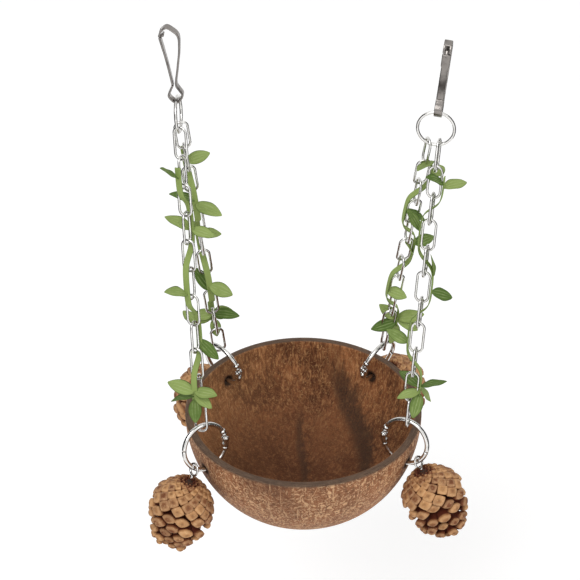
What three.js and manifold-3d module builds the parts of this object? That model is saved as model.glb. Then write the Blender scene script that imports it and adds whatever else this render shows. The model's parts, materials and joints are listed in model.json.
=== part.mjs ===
// Hanging coconut bird nest: half a coconut shell on four link chains, with two
// spring clips, hinged rings through the rim, pine cones and leaf vines.
// Millimetres, +Z up. X runs to the right and Y to the back. The origin is on the
// bar that both clips hook over, midway between them.
import * as THREE from 'three';
import { mergeVertices } from 'three/addons/utils/BufferGeometryUtils.js';
import Module from 'manifold-3d';

const wasm = await Module();
wasm.setup();

// Half shell
const rimRadius = 61;
const shellDepth = 62.5;
const shellWall = 4;
const holeDiameter = 5.2;
const holeBelowRim = 12.2;
const frontHoleAngle = 31; // degrees from the left-right axis
const backHoleAngle = 47;
const shellForward = 2; // the shell hangs this far in front of the clip line
const shellTilt = 0.8; // degrees, left side lower
const shellNod = 1.4; // degrees, front side lower

// Hinged rings
const ringInside = 21.8;
const ringWire = 2.4;
const knuckleRadius = 1.5;
const tongueWidth = 1.2;
const cheekWidth = 0.9;
const cheekLength = 4;
const pinDiameter = 0.9;
const claspOverlap = 2; // height of the stepped ends above and below the parting line

// Chains
const linkCount = 11;
const linkLength = 17.8;
const linkWidth = 7.7;
const linkWire = 1.3;
const linkBite = 0.12; // depth of the worn seat between two links that stay together
const twistShare = 0.4; // how far the odd links turn from the jump ring's wire to the hinged ring's wire
const heldAfter = [2, 5, 8]; // these links and the next one are made as one piece

// Jump rings
const jumpRingInside = 16;
const jumpRingWire = 1.6;
const chainSpacing = 5; // between the two chains on one jump ring

// Spring clips
const clipSpread = 130;
const clipStagger = 17; // the left clip hangs this far behind the right one
const leftClipTurn = -7;
const rightClipTurn = 78;
const clipLean = 5; // degrees inward, along the pull of the chains
const stripWidth = 4;
const stripThickness = 1;
const hookHalfWidth = 4.4;
const hookDrop = 3.9; // from the top of the arch to the tip and the shoulder
const backLength = 26.8; // from the shoulder to the neck
const neckHalfWidth = 0.9;
const eyeHalfWidth = 3.3;
const eyeHeight = 9.2;
const forkSlot = 1.9;
const forkDepth = 3;
const gateStem = 1.2;
const crossBar = 1;

// Pine cones and their screw eyes
const coneRadius = 18; // to the edges of the plates
const coneHeight = 38;
const coneRows = 11;
const scalesPerRow = 12;
const plateBoss = 0.8; // rise of a scale's middle
const shutHollow = 1.3; // depth between two shut scales
const openHollow = 3.6;
const openFrom = 0.2; // share of the height where the scales begin to open
const openOver = 0.3;
const openSpread = 0.4; // more room from row to row where the scales are open
const openTurnUp = 7; // degrees that an open scale faces above the horizon
const leftConeAngle = -50; // place on the ring, degrees above the outward direction
const rightConeAngle = -48;
const leftConeLean = 21; // degrees outward from straight down
const rightConeLean = 26;
const eyeInside = 5;
const eyeWire = 1.2;
const shankDiameter = 1.6;
const leftShank = 3; // length showing between the eye and the cone
const rightShank = 1.2;
const shankInCone = 6;

// Leaf vines
const ribbonWidth = 4.2;
const ribbonThickness = 0.6;
const leafLength = 15;
const leafWidth = 7;
const leafThickness = 0.6;
const leafSpread = 50; // degrees to each side of the outward direction
const leafRise = 25; // degrees up for one leaf of a pair, down for the other
const leafTwist = 25; // degrees about the leaf's own length
const leafPairShare = 0.24; // between the roots of a pair, as a share of a link
const bareTopShare = 0.075; // of the chain above the ribbon
const bareFootShare = 0.075; // of the chain below the ribbon

// Clearances
const bearingGap = 0.3; // between pieces that bear on each other
const hangGap = 0.8; // slack between the last link and its ring
const ribbonRoom = 0.4; // between the ribbon and the links beside it

// Facets of the round forms
const shellFacets = 32;
const shellSteps = 8;
const wireSides = 6;
const ringSteps = 10; // in each half of a hinged ring
const clipSteps = 30; // along the bent strip
const ribbonSteps = 3; // in each link
const linkFacets = 8;
const eyeFacets = 10;
const jumpRingFacets = 16;
const drillFacets = 12;

const degree = Math.PI / 180;
const inscribed = (facets) => Math.cos(Math.PI / facets);
const ringRadius = (ringInside + ringWire) / 2;
const jumpRingRadius = (jumpRingInside + jumpRingWire) / 2;
const corners = [
  { name: 'front_left', left: true, angle: 180 + frontHoleAngle, onRing: -1 },
  { name: 'back_left', left: true, angle: 180 - backHoleAngle, onRing: 1 },
  { name: 'front_right', left: false, angle: -frontHoleAngle, onRing: -1 },
  { name: 'back_right', left: false, angle: backHoleAngle, onRing: 1 },
];

const finish = {
  shell: { color: 0x7a4c2e, roughness: 0.85, metalness: 0 },
  nickel: { color: 0xcfcfcb, roughness: 0.22, metalness: 1 },
  clipSteel: { color: 0x8f8a84, roughness: 0.25, metalness: 1 },
  cone: { color: 0xa8794a, roughness: 0.8, metalness: 0 },
  leaf: { color: 0x7f9a4e, roughness: 0.75, metalness: 0 },
};

// Solids: joining and cutting

function toSolid(geometry) {
  const bare = geometry.clone();
  bare.deleteAttribute('normal');
  bare.deleteAttribute('uv');
  const merged = mergeVertices(bare, 1e-4);
  return new wasm.Manifold(
    new wasm.Mesh({
      numProp: 3,
      vertProperties: new Float32Array(merged.attributes.position.array),
      triVerts: new Uint32Array(merged.index.array),
    }),
  );
}

function toGeometry(manifold) {
  const mesh = manifold.getMesh();
  const geometry = new THREE.BufferGeometry();
  geometry.setAttribute('position', new THREE.BufferAttribute(mesh.vertProperties, 3));
  geometry.setIndex(new THREE.BufferAttribute(mesh.triVerts, 1));
  return geometry;
}

function join(geometries) {
  const solids = geometries.map(toSolid);
  return toGeometry(solids.reduce((whole, next) => whole.add(next)));
}

function cut(geometry, tools) {
  const solids = tools.map(toSolid);
  return toGeometry(solids.reduce((rest, tool) => rest.subtract(tool), toSolid(geometry)));
}

function addPiece(parent, name, geometry, look) {
  const mesh = new THREE.Mesh(geometry, new THREE.MeshStandardMaterial(look));
  mesh.name = name;
  parent.add(mesh);
  return mesh;
}

// Simple forms

function roundSection(diameter, sides) {
  const shape = new THREE.Shape();
  for (let i = 0; i < sides; i += 1) {
    const turn = (2 * Math.PI * i) / sides;
    const x = (diameter / 2) * Math.cos(turn);
    const y = (diameter / 2) * Math.sin(turn);
    if (i === 0) shape.moveTo(x, y);
    else shape.lineTo(x, y);
  }
  shape.closePath();
  return shape;
}

// An arc in the XZ plane, its angles measured from +X towards +Z.
class UprightArc extends THREE.Curve {
  constructor(radius, from, to) {
    super();
    Object.assign(this, { radius, from, to });
  }

  getPoint(t, target = new THREE.Vector3()) {
    const angle = this.from + (this.to - this.from) * t;
    return target.set(this.radius * Math.cos(angle), 0, this.radius * Math.sin(angle));
  }
}

function wireArc(radius, wire, from, to, steps) {
  return new THREE.ExtrudeGeometry(roundSection(wire, wireSides), {
    steps,
    bevelEnabled: false,
    extrudePath: new UprightArc(radius, from, to),
  });
}

function box(x0, x1, y0, y1, z0, z1) {
  const geometry = new THREE.BoxGeometry(x1 - x0, y1 - y0, z1 - z0);
  return geometry.translate((x0 + x1) / 2, (y0 + y1) / 2, (z0 + z1) / 2);
}

// A round bar lying along Y.
function crossRod(diameter, length, sides, x, y, z) {
  return new THREE.CylinderGeometry(diameter / 2, diameter / 2, length, sides).translate(x, y, z);
}

// A closed wire loop standing in the XZ plane: two half rounds and two straight sides.
function wireLoop(width, length, wire, facets) {
  const bend = (width - wire) / 2;
  const straight = (length - width) / 2;
  const loop = new THREE.TorusGeometry(bend, wire / 2, wireSides, facets);
  loop.rotateZ(Math.PI / facets);
  loop.rotateX(Math.PI / 2);
  const position = loop.attributes.position;
  for (let i = 0; i < position.count; i += 1) {
    const z = position.getZ(i);
    position.setZ(i, z + Math.sign(z) * straight);
  }
  return loop;
}

// A flat strip of even thickness along a line of points in the XZ plane, as an outline.
function stripOutline(points, thickness) {
  const sides = [[], []];
  points.forEach((point, i) => {
    const before = points[Math.max(i - 1, 0)];
    const after = points[Math.min(i + 1, points.length - 1)];
    const across = after.clone().sub(before).normalize().multiplyScalar(thickness / 2);
    sides[0].push(new THREE.Vector2(point.x - across.y, point.y + across.x));
    sides[1].push(new THREE.Vector2(point.x + across.y, point.y - across.x));
  });
  return new THREE.Shape([...sides[0], ...sides[1].reverse()]);
}

// Extrudes an outline drawn in X and Z along Y, centred on the XZ plane.
function acrossY(shape, width) {
  const geometry = new THREE.ExtrudeGeometry(shape, { depth: width, bevelEnabled: false });
  return geometry.translate(0, 0, -width / 2).rotateX(Math.PI / 2);
}

// Coconut shell

const innerRim = rimRadius - shellWall;
const innerDepth = shellDepth - shellWall;

function ovalRadius(radius, depth, z) {
  return radius * Math.sqrt(1 - (z / depth) ** 2);
}

const holeRadius =
  (ovalRadius(rimRadius, shellDepth, holeBelowRim) + ovalRadius(innerRim, innerDepth, holeBelowRim)) / 2;

function coconutShell() {
  const outside = [];
  const inside = [];
  for (let i = 0; i <= shellSteps; i += 1) {
    const turn = (Math.PI / 2) * (i / shellSteps);
    outside.push(new THREE.Vector2(rimRadius * Math.sin(turn), -shellDepth * Math.cos(turn)));
    inside.unshift(new THREE.Vector2(innerRim * Math.sin(turn), -innerDepth * Math.cos(turn)));
  }
  const shell = new THREE.LatheGeometry([...outside, ...inside], shellFacets).rotateX(Math.PI / 2);
  const through = 4 * shellWall;
  const drills = corners.map(({ angle }) => {
    const drill = new THREE.CylinderGeometry(holeDiameter / 2, holeDiameter / 2, through, drillFacets);
    drill.rotateZ(Math.PI / 2);
    return drill.translate(holeRadius, 0, -holeBelowRim).rotateZ(angle * degree);
  });
  return cut(shell, drills);
}

// Hinged ring: X points out of the shell, Z up. The lower half passes through the
// shell and carries the hinge pin; the upper half turns on it.

const cheekOuter = tongueWidth / 2 + bearingGap + cheekWidth;
const hingeTurn = (knuckleRadius + bearingGap + ringWire / 4) / ringRadius;
const claspTurn = Math.asin(claspOverlap / ringRadius);
const halfStep = bearingGap / 2;

function hingeCheek(y) {
  const outline = new THREE.Shape();
  outline.absarc(0, 0, knuckleRadius, 0, Math.PI, false);
  outline.lineTo(-knuckleRadius, -cheekLength);
  outline.lineTo(knuckleRadius, -cheekLength);
  outline.closePath();
  const plate = new THREE.ExtrudeGeometry(outline, {
    depth: cheekWidth,
    bevelEnabled: false,
    curveSegments: wireSides,
  });
  return plate.translate(0, 0, -cheekWidth / 2).rotateX(Math.PI / 2).translate(-ringRadius, y, 0);
}

function ringLowerHalf() {
  const wire = wireArc(ringRadius, ringWire, Math.PI + hingeTurn, 2 * Math.PI + claspTurn, ringSteps);
  const room = ringWire;
  const step = box(0, 2 * ringRadius, -room, halfStep, -claspOverlap - bearingGap, room + claspOverlap);
  const stepped = cut(wire, [step]);
  const cheekMiddle = cheekOuter - cheekWidth / 2;
  const pin = crossRod(pinDiameter, 2 * cheekOuter - cheekWidth, 6, -ringRadius, 0, 0);
  return join([stepped, hingeCheek(cheekMiddle), hingeCheek(-cheekMiddle), pin]);
}

function ringUpperHalf() {
  const wire = wireArc(ringRadius, ringWire, -claspTurn, Math.PI - hingeTurn / 2, ringSteps);
  const room = ringWire;
  const step = box(0, 2 * ringRadius, -halfStep, room, -room - claspOverlap, claspOverlap + bearingGap);
  const stepped = cut(wire, [step]);
  const aside = [tongueWidth / 2, -tongueWidth / 2 - room].map((y) =>
    box(-ringRadius - room, -ringRadius + room, y, y + room, -room, knuckleRadius + bearingGap),
  );
  const tongue = crossRod(2 * knuckleRadius, tongueWidth, 8, -ringRadius, 0, 0);
  const bore = crossRod(pinDiameter + 2 * bearingGap, 2 * ringWire, 6, -ringRadius, 0, 0);
  return cut(join([cut(stepped, aside), tongue]), [bore]);
}

// Spring clip: a bent strip. Z = 0 is the inside of the arch, where the bar lies.

const archTop = stripThickness / 2;
const neckZ = -hookDrop - backLength;
const eyeBottom = neckZ - eyeHeight;
const gateRoot = new THREE.Vector2(-neckHalfWidth, neckZ + bearingGap);
const hookTip = new THREE.Vector2(-hookHalfWidth, -hookDrop);

function clipBody() {
  const bend = new THREE.CatmullRomCurve3(
    [
      [hookTip.x, hookTip.y],
      [-hookHalfWidth * 0.72, -hookDrop * 0.3],
      [-hookHalfWidth * 0.12, archTop],
      [hookHalfWidth * 0.5, -hookDrop * 0.32],
      [hookHalfWidth, -hookDrop],
      [hookHalfWidth, -hookDrop - backLength * 0.25],
      [neckHalfWidth + hookHalfWidth * 0.35, -hookDrop - backLength * 0.66],
      [neckHalfWidth, neckZ],
      [eyeHalfWidth * 0.62, neckZ - eyeHeight * 0.26],
      [eyeHalfWidth, neckZ - eyeHeight * 0.6],
      [0, eyeBottom],
      [-eyeHalfWidth, neckZ - eyeHeight * 0.6],
      [-eyeHalfWidth * 0.62, neckZ - eyeHeight * 0.26],
      [-neckHalfWidth, neckZ],
    ].map(([x, z]) => new THREE.Vector3(x, z, 0)),
    false,
    'centripetal',
  );
  const line = bend.getPoints(clipSteps).map((p) => new THREE.Vector2(p.x, p.y));
  const strip = acrossY(stripOutline(line, stripThickness), stripWidth);
  const half = forkSlot / 2;
  const slotTop = -hookDrop + forkDepth;
  const slot = box(-2 * hookHalfWidth, -hookHalfWidth / 3, -half, half, -2 * hookDrop, slotTop);
  return cut(strip, [slot]);
}

// The sprung leaf that closes the hook. It stands on the origin, which is its bend,
// and its stem lies in the fork of the hook, with a cross bar behind the prongs.
function clipGate() {
  const rise = hookTip.clone().sub(gateRoot);
  const length = rise.length();
  const shoulder = length - bearingGap - stripThickness / 2;
  const top = shoulder + forkDepth / 2;
  const half = stripThickness / 2;
  const wide = stripWidth / 2;
  const leaf = box(-half, half, -wide, wide, 0, shoulder);
  const barX = stripThickness * 1.4;
  const barMiddle = barX + crossBar / 2;
  const stem = box(-half, barMiddle, -gateStem / 2, gateStem / 2, shoulder - crossBar, top);
  const bar = box(barX, barX + crossBar, -wide, wide, top - crossBar, top);
  return join([leaf, stem, bar]).rotateY(Math.atan2(rise.x, rise.y));
}

// Pine cone with its stem end up at the origin. Its scales stand in rows, each row half a
// scale round from the one above, and they shrink toward both ends as the cone narrows.
// Each scale is a low pyramid on the four hollows beside it. Scales near the stem lie shut,
// and those past the middle stand open over deeper hollows.

const ease = (share) => THREE.MathUtils.smoothstep(share, 0, 1);

// Radius of the cone at a share of its height, 0 at the stem end and 1 at the tip.
function coneReach(share) {
  const stemEnd = 0.07; // parts of the rounded outline that the two ends leave out
  const tipEnd = 0.13;
  const sag = 0.85; // below 1 the widest place lies nearer the stem
  const fullness = 0.75; // below 1 the outline is fuller than a plain oval
  const turn = stemEnd + (1 - stemEnd - tipEnd) * Math.max(share, 0) ** sag;
  return coneRadius * Math.sin(Math.PI * turn) ** fullness;
}

const openedAt = (share) => ease((share - openFrom) / openOver);

// Heights of the rows, as shares of the cone's height. The gap between two rows goes with
// the radius there, and is larger among the open scales.
function coneRowShares() {
  const slices = 400;
  const passed = [0];
  for (let i = 0; i < slices; i += 1) {
    const middle = (i + 0.5) / slices;
    const room = coneReach(middle) * (1 + openSpread * openedAt(middle));
    const widening = coneReach((i + 1) / slices) - coneReach(i / slices);
    passed.push(passed[i] + Math.hypot(widening, coneHeight / slices) / room);
  }
  const shares = [];
  for (let row = 0; row <= coneRows + 1; row += 1) {
    const wanted = (row / (coneRows + 1)) * passed[slices];
    shares.push(passed.findIndex((length) => length >= wanted) / slices);
  }
  return shares;
}

function pineCone() {
  const shares = coneRowShares();
  const columns = 2 * scalesPerRow;
  const vertices = [[0, 0, -shutHollow], [0, 0, -coneHeight + openHollow]];
  const isScale = (row, column) => row > 0 && row <= coneRows && (row + column) % 2 === 1;
  for (let row = 0; row <= coneRows + 1; row += 1) {
    const share = shares[row];
    const step = 0.01;
    const slope = (coneReach(share + step) - coneReach(share)) / step;
    const tilt = Math.atan2(slope, coneHeight);
    const opened = openedAt(share);
    const lean = THREE.MathUtils.lerp(tilt, openTurnUp * degree, 0.7 * opened);
    const hollow = THREE.MathUtils.lerp(shutHollow, openHollow, opened);
    for (let column = 0; column < columns; column += 1) {
      const scale = isScale(row, column);
      const way = scale ? lean : tilt;
      const rise = scale ? plateBoss : -hollow;
      const radius = coneReach(share) + rise * Math.cos(way);
      const turn = (Math.PI * column) / scalesPerRow;
      const z = -share * coneHeight + rise * Math.sin(way);
      vertices.push([radius * Math.cos(turn), radius * Math.sin(turn), z]);
    }
  }
  const at = (row, column) => 2 + row * columns + ((column + columns) % columns);
  const faces = [];
  for (let row = 1; row <= coneRows; row += 1) {
    for (let column = 0; column < columns; column += 1) {
      if (!isScale(row, column)) continue;
      const peak = at(row, column);
      const right = at(row, column + 1);
      const above = at(row - 1, column);
      const left = at(row, column - 1);
      const below = at(row + 1, column);
      faces.push(peak, right, above, peak, above, left, peak, left, below, peak, below, right);
      if (row === 1) faces.push(above, right, 0, left, above, 0);
      if (row === coneRows) faces.push(below, left, 1, right, below, 1);
    }
  }
  const body = new THREE.BufferGeometry();
  body.setAttribute('position', new THREE.Float32BufferAttribute(vertices.flat(), 3));
  body.setIndex(faces);
  const boreDiameter = shankDiameter + 2 * bearingGap;
  const boreLength = shankInCone + bearingGap;
  const bore = new THREE.CylinderGeometry(boreDiameter / 2, boreDiameter / 2, 2 * boreLength, 6);
  return cut(body, [bore.rotateX(Math.PI / 2)]);
}

// Screw eye that holds a cone on its ring: its loop round the ring's wire, its shank
// in the stem end of the cone.
function screwEye(shankShowing) {
  const loopWidth = eyeInside + 2 * eyeWire;
  const loop = wireLoop(loopWidth, loopWidth, eyeWire, eyeFacets).rotateZ(Math.PI / 2);
  const shankLength = shankShowing + shankInCone + eyeWire / 2;
  const shank = new THREE.CylinderGeometry(shankDiameter / 2, shankDiameter / 2, shankLength, 6);
  shank.rotateX(Math.PI / 2).translate(0, 0, -loopWidth / 2 + eyeWire / 2 - shankLength / 2);
  return join([loop, shank]);
}

// Leaf vine: a ribbon that weaves through every second link, and leaves on its outer bends.

const ribbonSwing = linkWidth / 2 + ribbonRoom + ribbonThickness / 2;

// Distance of the ribbon from the chain's middle, at a place counted in links.
function ribbonOffset(place) {
  const sharpness = 2.2;
  const wave = Math.sin((Math.PI / 2) * (place - 3));
  return (ribbonSwing * Math.tanh(sharpness * wave)) / Math.tanh(sharpness);
}

function leaf(base, around, rise) {
  const outline = new THREE.Shape();
  const root = -leafWidth / 6;
  const nearX = leafLength * 0.25;
  const nearY = leafWidth * 0.7;
  const farX = leafLength * 0.6;
  const farY = leafWidth * 0.6;
  outline.moveTo(root, 0);
  outline.bezierCurveTo(nearX, nearY, farX, farY, leafLength, 0);
  outline.bezierCurveTo(farX, -farY, nearX, -nearY, root, 0);
  const blade = new THREE.ExtrudeGeometry(outline, {
    depth: leafThickness,
    bevelEnabled: false,
    curveSegments: 3,
  });
  blade.translate(0, 0, -leafThickness / 2);
  blade.rotateX(leafTwist * degree).rotateY(-rise * degree).rotateZ(around * degree);
  return blade.translate(base.x, base.y, base.z);
}

function vine(pitch, topZ) {
  const zAt = (place) => topZ - pitch * (place - 1);
  const first = 1 + bareTopShare * (linkCount - 1);
  const last = linkCount - bareFootShare * (linkCount - 1);
  const steps = Math.round((last - first) * ribbonSteps);
  const line = [];
  for (let i = 0; i <= steps; i += 1) {
    const place = first + ((last - first) * i) / steps;
    line.push(new THREE.Vector2(ribbonOffset(place), zAt(place)));
  }
  const ribbon = acrossY(stripOutline(line, ribbonThickness), ribbonWidth);
  const leaves = [];
  for (let place = 2; place < linkCount; place += 2) {
    const side = Math.sign(ribbonOffset(place));
    const facing = side > 0 ? 0 : 180;
    const base = (shift) => new THREE.Vector3(ribbonOffset(place + shift), 0, zAt(place + shift));
    leaves.push(leaf(base(-leafPairShare / 2), facing + leafSpread, leafRise));
    leaves.push(leaf(base(leafPairShare / 2), facing - leafSpread, -leafRise));
  }
  return join([ribbon, ...leaves]);
}

// Assembly

const nest = new THREE.Group();

function holder(parent, x, y, z) {
  const group = new THREE.Group();
  group.position.set(x, y, z);
  parent.add(group);
  return group;
}

// Clips and jump rings. Each jump ring hangs across the bottom of its clip's eye.
const ringSag = jumpRingRadius - Math.sqrt(jumpRingRadius ** 2 - (stripWidth / 2) ** 2);
const jumpRingTop = eyeBottom + stripThickness / 2 + bearingGap + ringSag + jumpRingWire / 2;
const jumpRingZ = jumpRingTop - jumpRingRadius;
const hangers = {};

for (const side of ['left', 'right']) {
  const sign = side === 'left' ? -1 : 1;
  const clip = holder(nest, (sign * clipSpread) / 2, (-sign * clipStagger) / 2, 0);
  clip.rotation.y = sign * clipLean * degree;
  clip.rotation.z = (side === 'left' ? leftClipTurn : rightClipTurn) * degree;
  clip.name = `${side}_clip_hook`;
  addPiece(clip, `${side}_clip_body`, clipBody(), finish.clipSteel);
  const gateBend = holder(clip, gateRoot.x, 0, gateRoot.y);
  gateBend.name = `${side}_gate_bend`;
  addPiece(gateBend, `${side}_clip_gate`, clipGate(), finish.clipSteel);
  const ring = new THREE.TorusGeometry(jumpRingRadius, jumpRingWire / 2, wireSides, jumpRingFacets);
  ring.rotateZ(Math.PI / jumpRingFacets).rotateY(Math.PI / 2).translate(0, 0, jumpRingZ);
  addPiece(clip, `${side}_jump_ring`, ring, finish.nickel);
  clip.updateMatrixWorld(true);
  hangers[side] = clip;
}

// Where each chain hangs on its jump ring, and where it holds its hinged ring.
const chainSide = chainSpacing / 2;
const chainTopZ = jumpRingZ - Math.sqrt((jumpRingRadius * inscribed(jumpRingFacets)) ** 2 - chainSide ** 2);
const wallSag = ringRadius - Math.sqrt(ringRadius ** 2 - (shellWall / 2) ** 2);
const holeTop = (holeDiameter / 2) * inscribed(drillFacets) - holeBelowRim;
const ringLow = holeTop - bearingGap - wallSag - ringWire / 2;
const linkReach = linkLength - linkWidth + (linkWidth - linkWire) * inscribed(linkFacets);
const looseJoints = linkCount - heldAfter.length;
const tautLength =
  linkCount * linkReach -
  (linkCount - 1) * linkWire +
  heldAfter.length * linkBite -
  (jumpRingWire + linkWire) / 2 -
  (ringWire + linkWire) / 2 -
  hangGap;
const longestSpan = tautLength - looseJoints * bearingGap;

const shell = holder(nest, 0, -shellForward, chainTopZ - longestSpan - 2 * ringRadius - ringLow);
shell.rotation.set(shellNod * degree, -shellTilt * degree, 0);
addPiece(shell, 'coconut_bowl', coconutShell(), finish.shell);

// Each hinged ring leans round the rim, in line with its chain.
for (const corner of corners) {
  const hanger = hangers[corner.left ? 'left' : 'right'];
  corner.top = hanger.localToWorld(new THREE.Vector3(0, corner.onRing * chainSide, chainTopZ));
  const spoke = holder(shell, 0, 0, 0);
  spoke.rotation.z = corner.angle * degree;
  const seat = holder(spoke, holeRadius, 0, ringLow);
  seat.updateWorldMatrix(true, false);
  const aside = seat.worldToLocal(corner.top.clone()).y;
  corner.lean = Math.asin(aside / (longestSpan + 2 * ringRadius));
  seat.rotation.x = -corner.lean;
  corner.centre = holder(seat, 0, 0, ringRadius);
}

// The shell hangs as low as its tightest chain lets it.
const ringTop = new THREE.Vector3(0, 0, ringRadius);
function holdOf(corner) {
  corner.centre.updateWorldMatrix(true, false);
  return corner.centre.localToWorld(ringTop.clone());
}
const lifts = corners.map((corner) => {
  const hold = holdOf(corner);
  const aside = Math.hypot(corner.top.x - hold.x, corner.top.y - hold.y);
  return corner.top.z - Math.sqrt(longestSpan ** 2 - aside ** 2) - hold.z;
});
shell.position.z += Math.max(...lifts);

for (const { name, left, lean, centre } of corners) {
  centre.name = `${name}_ring_centre`;
  addPiece(centre, `${name}_ring_lower`, ringLowerHalf(), finish.nickel);
  addPiece(centre, `${name}_ring_upper`, ringUpperHalf(), finish.nickel);
  const coneAngle = left ? leftConeAngle : rightConeAngle;
  const coneLean = left ? leftConeLean : rightConeLean;
  const shankShowing = left ? leftShank : rightShank;
  const place = coneAngle * degree;
  const hang = holder(centre, ringRadius * Math.cos(place), 0, ringRadius * Math.sin(place));
  hang.name = `${name}_cone_hang`;
  hang.rotation.set(lean, -coneLean * degree, 0);
  const eyeTilt = (90 + coneAngle - coneLean) * degree;
  const wireRise = ringWire / 2 / Math.cos(eyeTilt);
  const eyeDrop = (eyeInside / 2) * inscribed(eyeFacets) - wireRise - bearingGap;
  const eye = addPiece(hang, `${name}_cone_eye`, screwEye(shankShowing), finish.nickel);
  eye.position.z = -eyeDrop;
  const cone = addPiece(hang, `${name}_cone`, pineCone(), finish.cone);
  cone.position.z = -eyeDrop - eyeInside / 2 - eyeWire - shankShowing;
}

// Chains: each link stands at right angles to the next one. The odd links face between
// the jump ring's wire and the hinged ring's wire.
function between(first, second) {
  const apart = ((((second - first + 90) % 180) + 180) % 180) - 90;
  return first + apart * twistShare;
}

for (const corner of corners) {
  const { name, left, angle, onRing, top } = corner;
  const up = top.clone().sub(holdOf(corner));
  const gap = (tautLength - up.length()) / looseJoints;
  const facing = between((left ? leftClipTurn : rightClipTurn) + 90, angle) * degree;
  const zAxis = up.clone().normalize();
  const across = new THREE.Vector3(-Math.sin(facing), Math.cos(facing), 0);
  const xAxis = across.clone().cross(zAxis).normalize();
  const yAxis = zAxis.clone().cross(xAxis);
  const chain = holder(nest, top.x, top.y, top.z);
  chain.quaternion.setFromRotationMatrix(new THREE.Matrix4().makeBasis(xAxis, yAxis, zAxis));
  const middles = [(jumpRingWire + linkWire) / 2 + gap - linkReach / 2];
  for (let i = 1; i < linkCount; i += 1) {
    const seat = linkWire + (heldAfter.includes(i) ? -linkBite : gap);
    middles.push(middles[i - 1] - linkReach + seat);
  }
  const links = middles.map((z, i) => {
    const link = wireLoop(linkWidth, linkLength, linkWire, linkFacets);
    return link.rotateZ(i % 2 === 0 ? Math.PI / 2 : 0).translate(0, 0, z);
  });
  for (let i = 1; i <= linkCount; i += 1) {
    if (heldAfter.includes(i)) {
      addPiece(chain, `${name}_links_${i}_${i + 1}`, join([links[i - 1], links[i]]), finish.nickel);
    } else if (!heldAfter.includes(i - 1)) {
      addPiece(chain, `${name}_link_${i}`, links[i - 1], finish.nickel);
    }
  }
  const pitch = (middles[0] - middles[linkCount - 1]) / (linkCount - 1);
  const leaves = addPiece(chain, `${name}_vine`, vine(pitch, middles[0]), finish.leaf);
  leaves.rotation.z = xAxis.y * onRing > 0 ? Math.PI : 0; // the first bend faces away from the other chain
}

export default nest;
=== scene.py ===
# Hanging coconut bird nest: the finished surfaces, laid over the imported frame
import json
import math

import bpy
import numpy as np
from mathutils import Matrix


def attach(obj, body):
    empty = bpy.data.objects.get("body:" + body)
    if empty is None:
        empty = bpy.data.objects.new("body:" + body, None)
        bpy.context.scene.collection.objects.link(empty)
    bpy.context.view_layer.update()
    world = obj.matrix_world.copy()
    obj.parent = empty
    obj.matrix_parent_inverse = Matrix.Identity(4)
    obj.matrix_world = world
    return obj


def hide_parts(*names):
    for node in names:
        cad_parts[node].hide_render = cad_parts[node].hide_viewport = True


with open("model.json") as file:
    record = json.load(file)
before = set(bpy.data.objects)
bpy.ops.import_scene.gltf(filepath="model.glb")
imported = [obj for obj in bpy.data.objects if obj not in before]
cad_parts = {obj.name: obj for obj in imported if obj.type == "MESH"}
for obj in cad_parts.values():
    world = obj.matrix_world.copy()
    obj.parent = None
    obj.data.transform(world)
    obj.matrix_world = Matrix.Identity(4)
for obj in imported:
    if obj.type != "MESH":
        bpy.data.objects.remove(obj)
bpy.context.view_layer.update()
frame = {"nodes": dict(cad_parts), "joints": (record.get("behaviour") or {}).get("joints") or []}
mm = 0.001
corners = ["front_left", "back_left", "front_right", "back_right"]
joints = {joint["name"]: joint for joint in frame["joints"]}
print("frame loaded:", len(frame["nodes"]), "solids")


def unit(vector):
    return vector / np.linalg.norm(vector, axis=-1, keepdims=True)


def addObject(name, data):
    made = bpy.data.objects.new(name, data)
    bpy.context.scene.collection.objects.link(made)
    return made


# Stands a camera or lamp in the room: its matrix has its right, up and back, and its spot, as columns.
def stand(thing, right, up, back, spot):
    turn = np.eye(4)
    turn[:3] = np.stack([right, up, back, spot], 1)
    thing.matrix_world = Matrix(turn.tolist())


# camera as in the photograph: degrees round from the front, above the horizon and of roll
view = dict(aim=(0, 0, -140 * mm), away=1.2, azimuth=-3.0, height=34.59, roll=0.73,
            lens=149.7, shift=(-0.0252, -0.0128), nearest=0.05, farthest=20)


def aimCamera():
    a, e, r = (math.radians(view[key]) for key in ("azimuth", "height", "roll"))
    right = np.array([math.cos(a), math.sin(a), 0])
    back = np.array([math.sin(a) * math.cos(e), -math.cos(a) * math.cos(e), math.sin(e)])
    up = np.cross(back, right)
    data = bpy.data.cameras.new("photoCamera")
    data.lens = view["lens"]
    data.shift_x, data.shift_y = view["shift"]
    data.clip_start, data.clip_end = view["nearest"], view["farthest"]
    camera = addObject("photoCamera", data)
    stand(camera, math.cos(r) * right + math.sin(r) * up, math.cos(r) * up - math.sin(r) * right,
          back, np.array(view["aim"]) + view["away"] * back)
    bpy.context.scene.camera = camera


aimCamera()
print("camera aimed")


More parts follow.
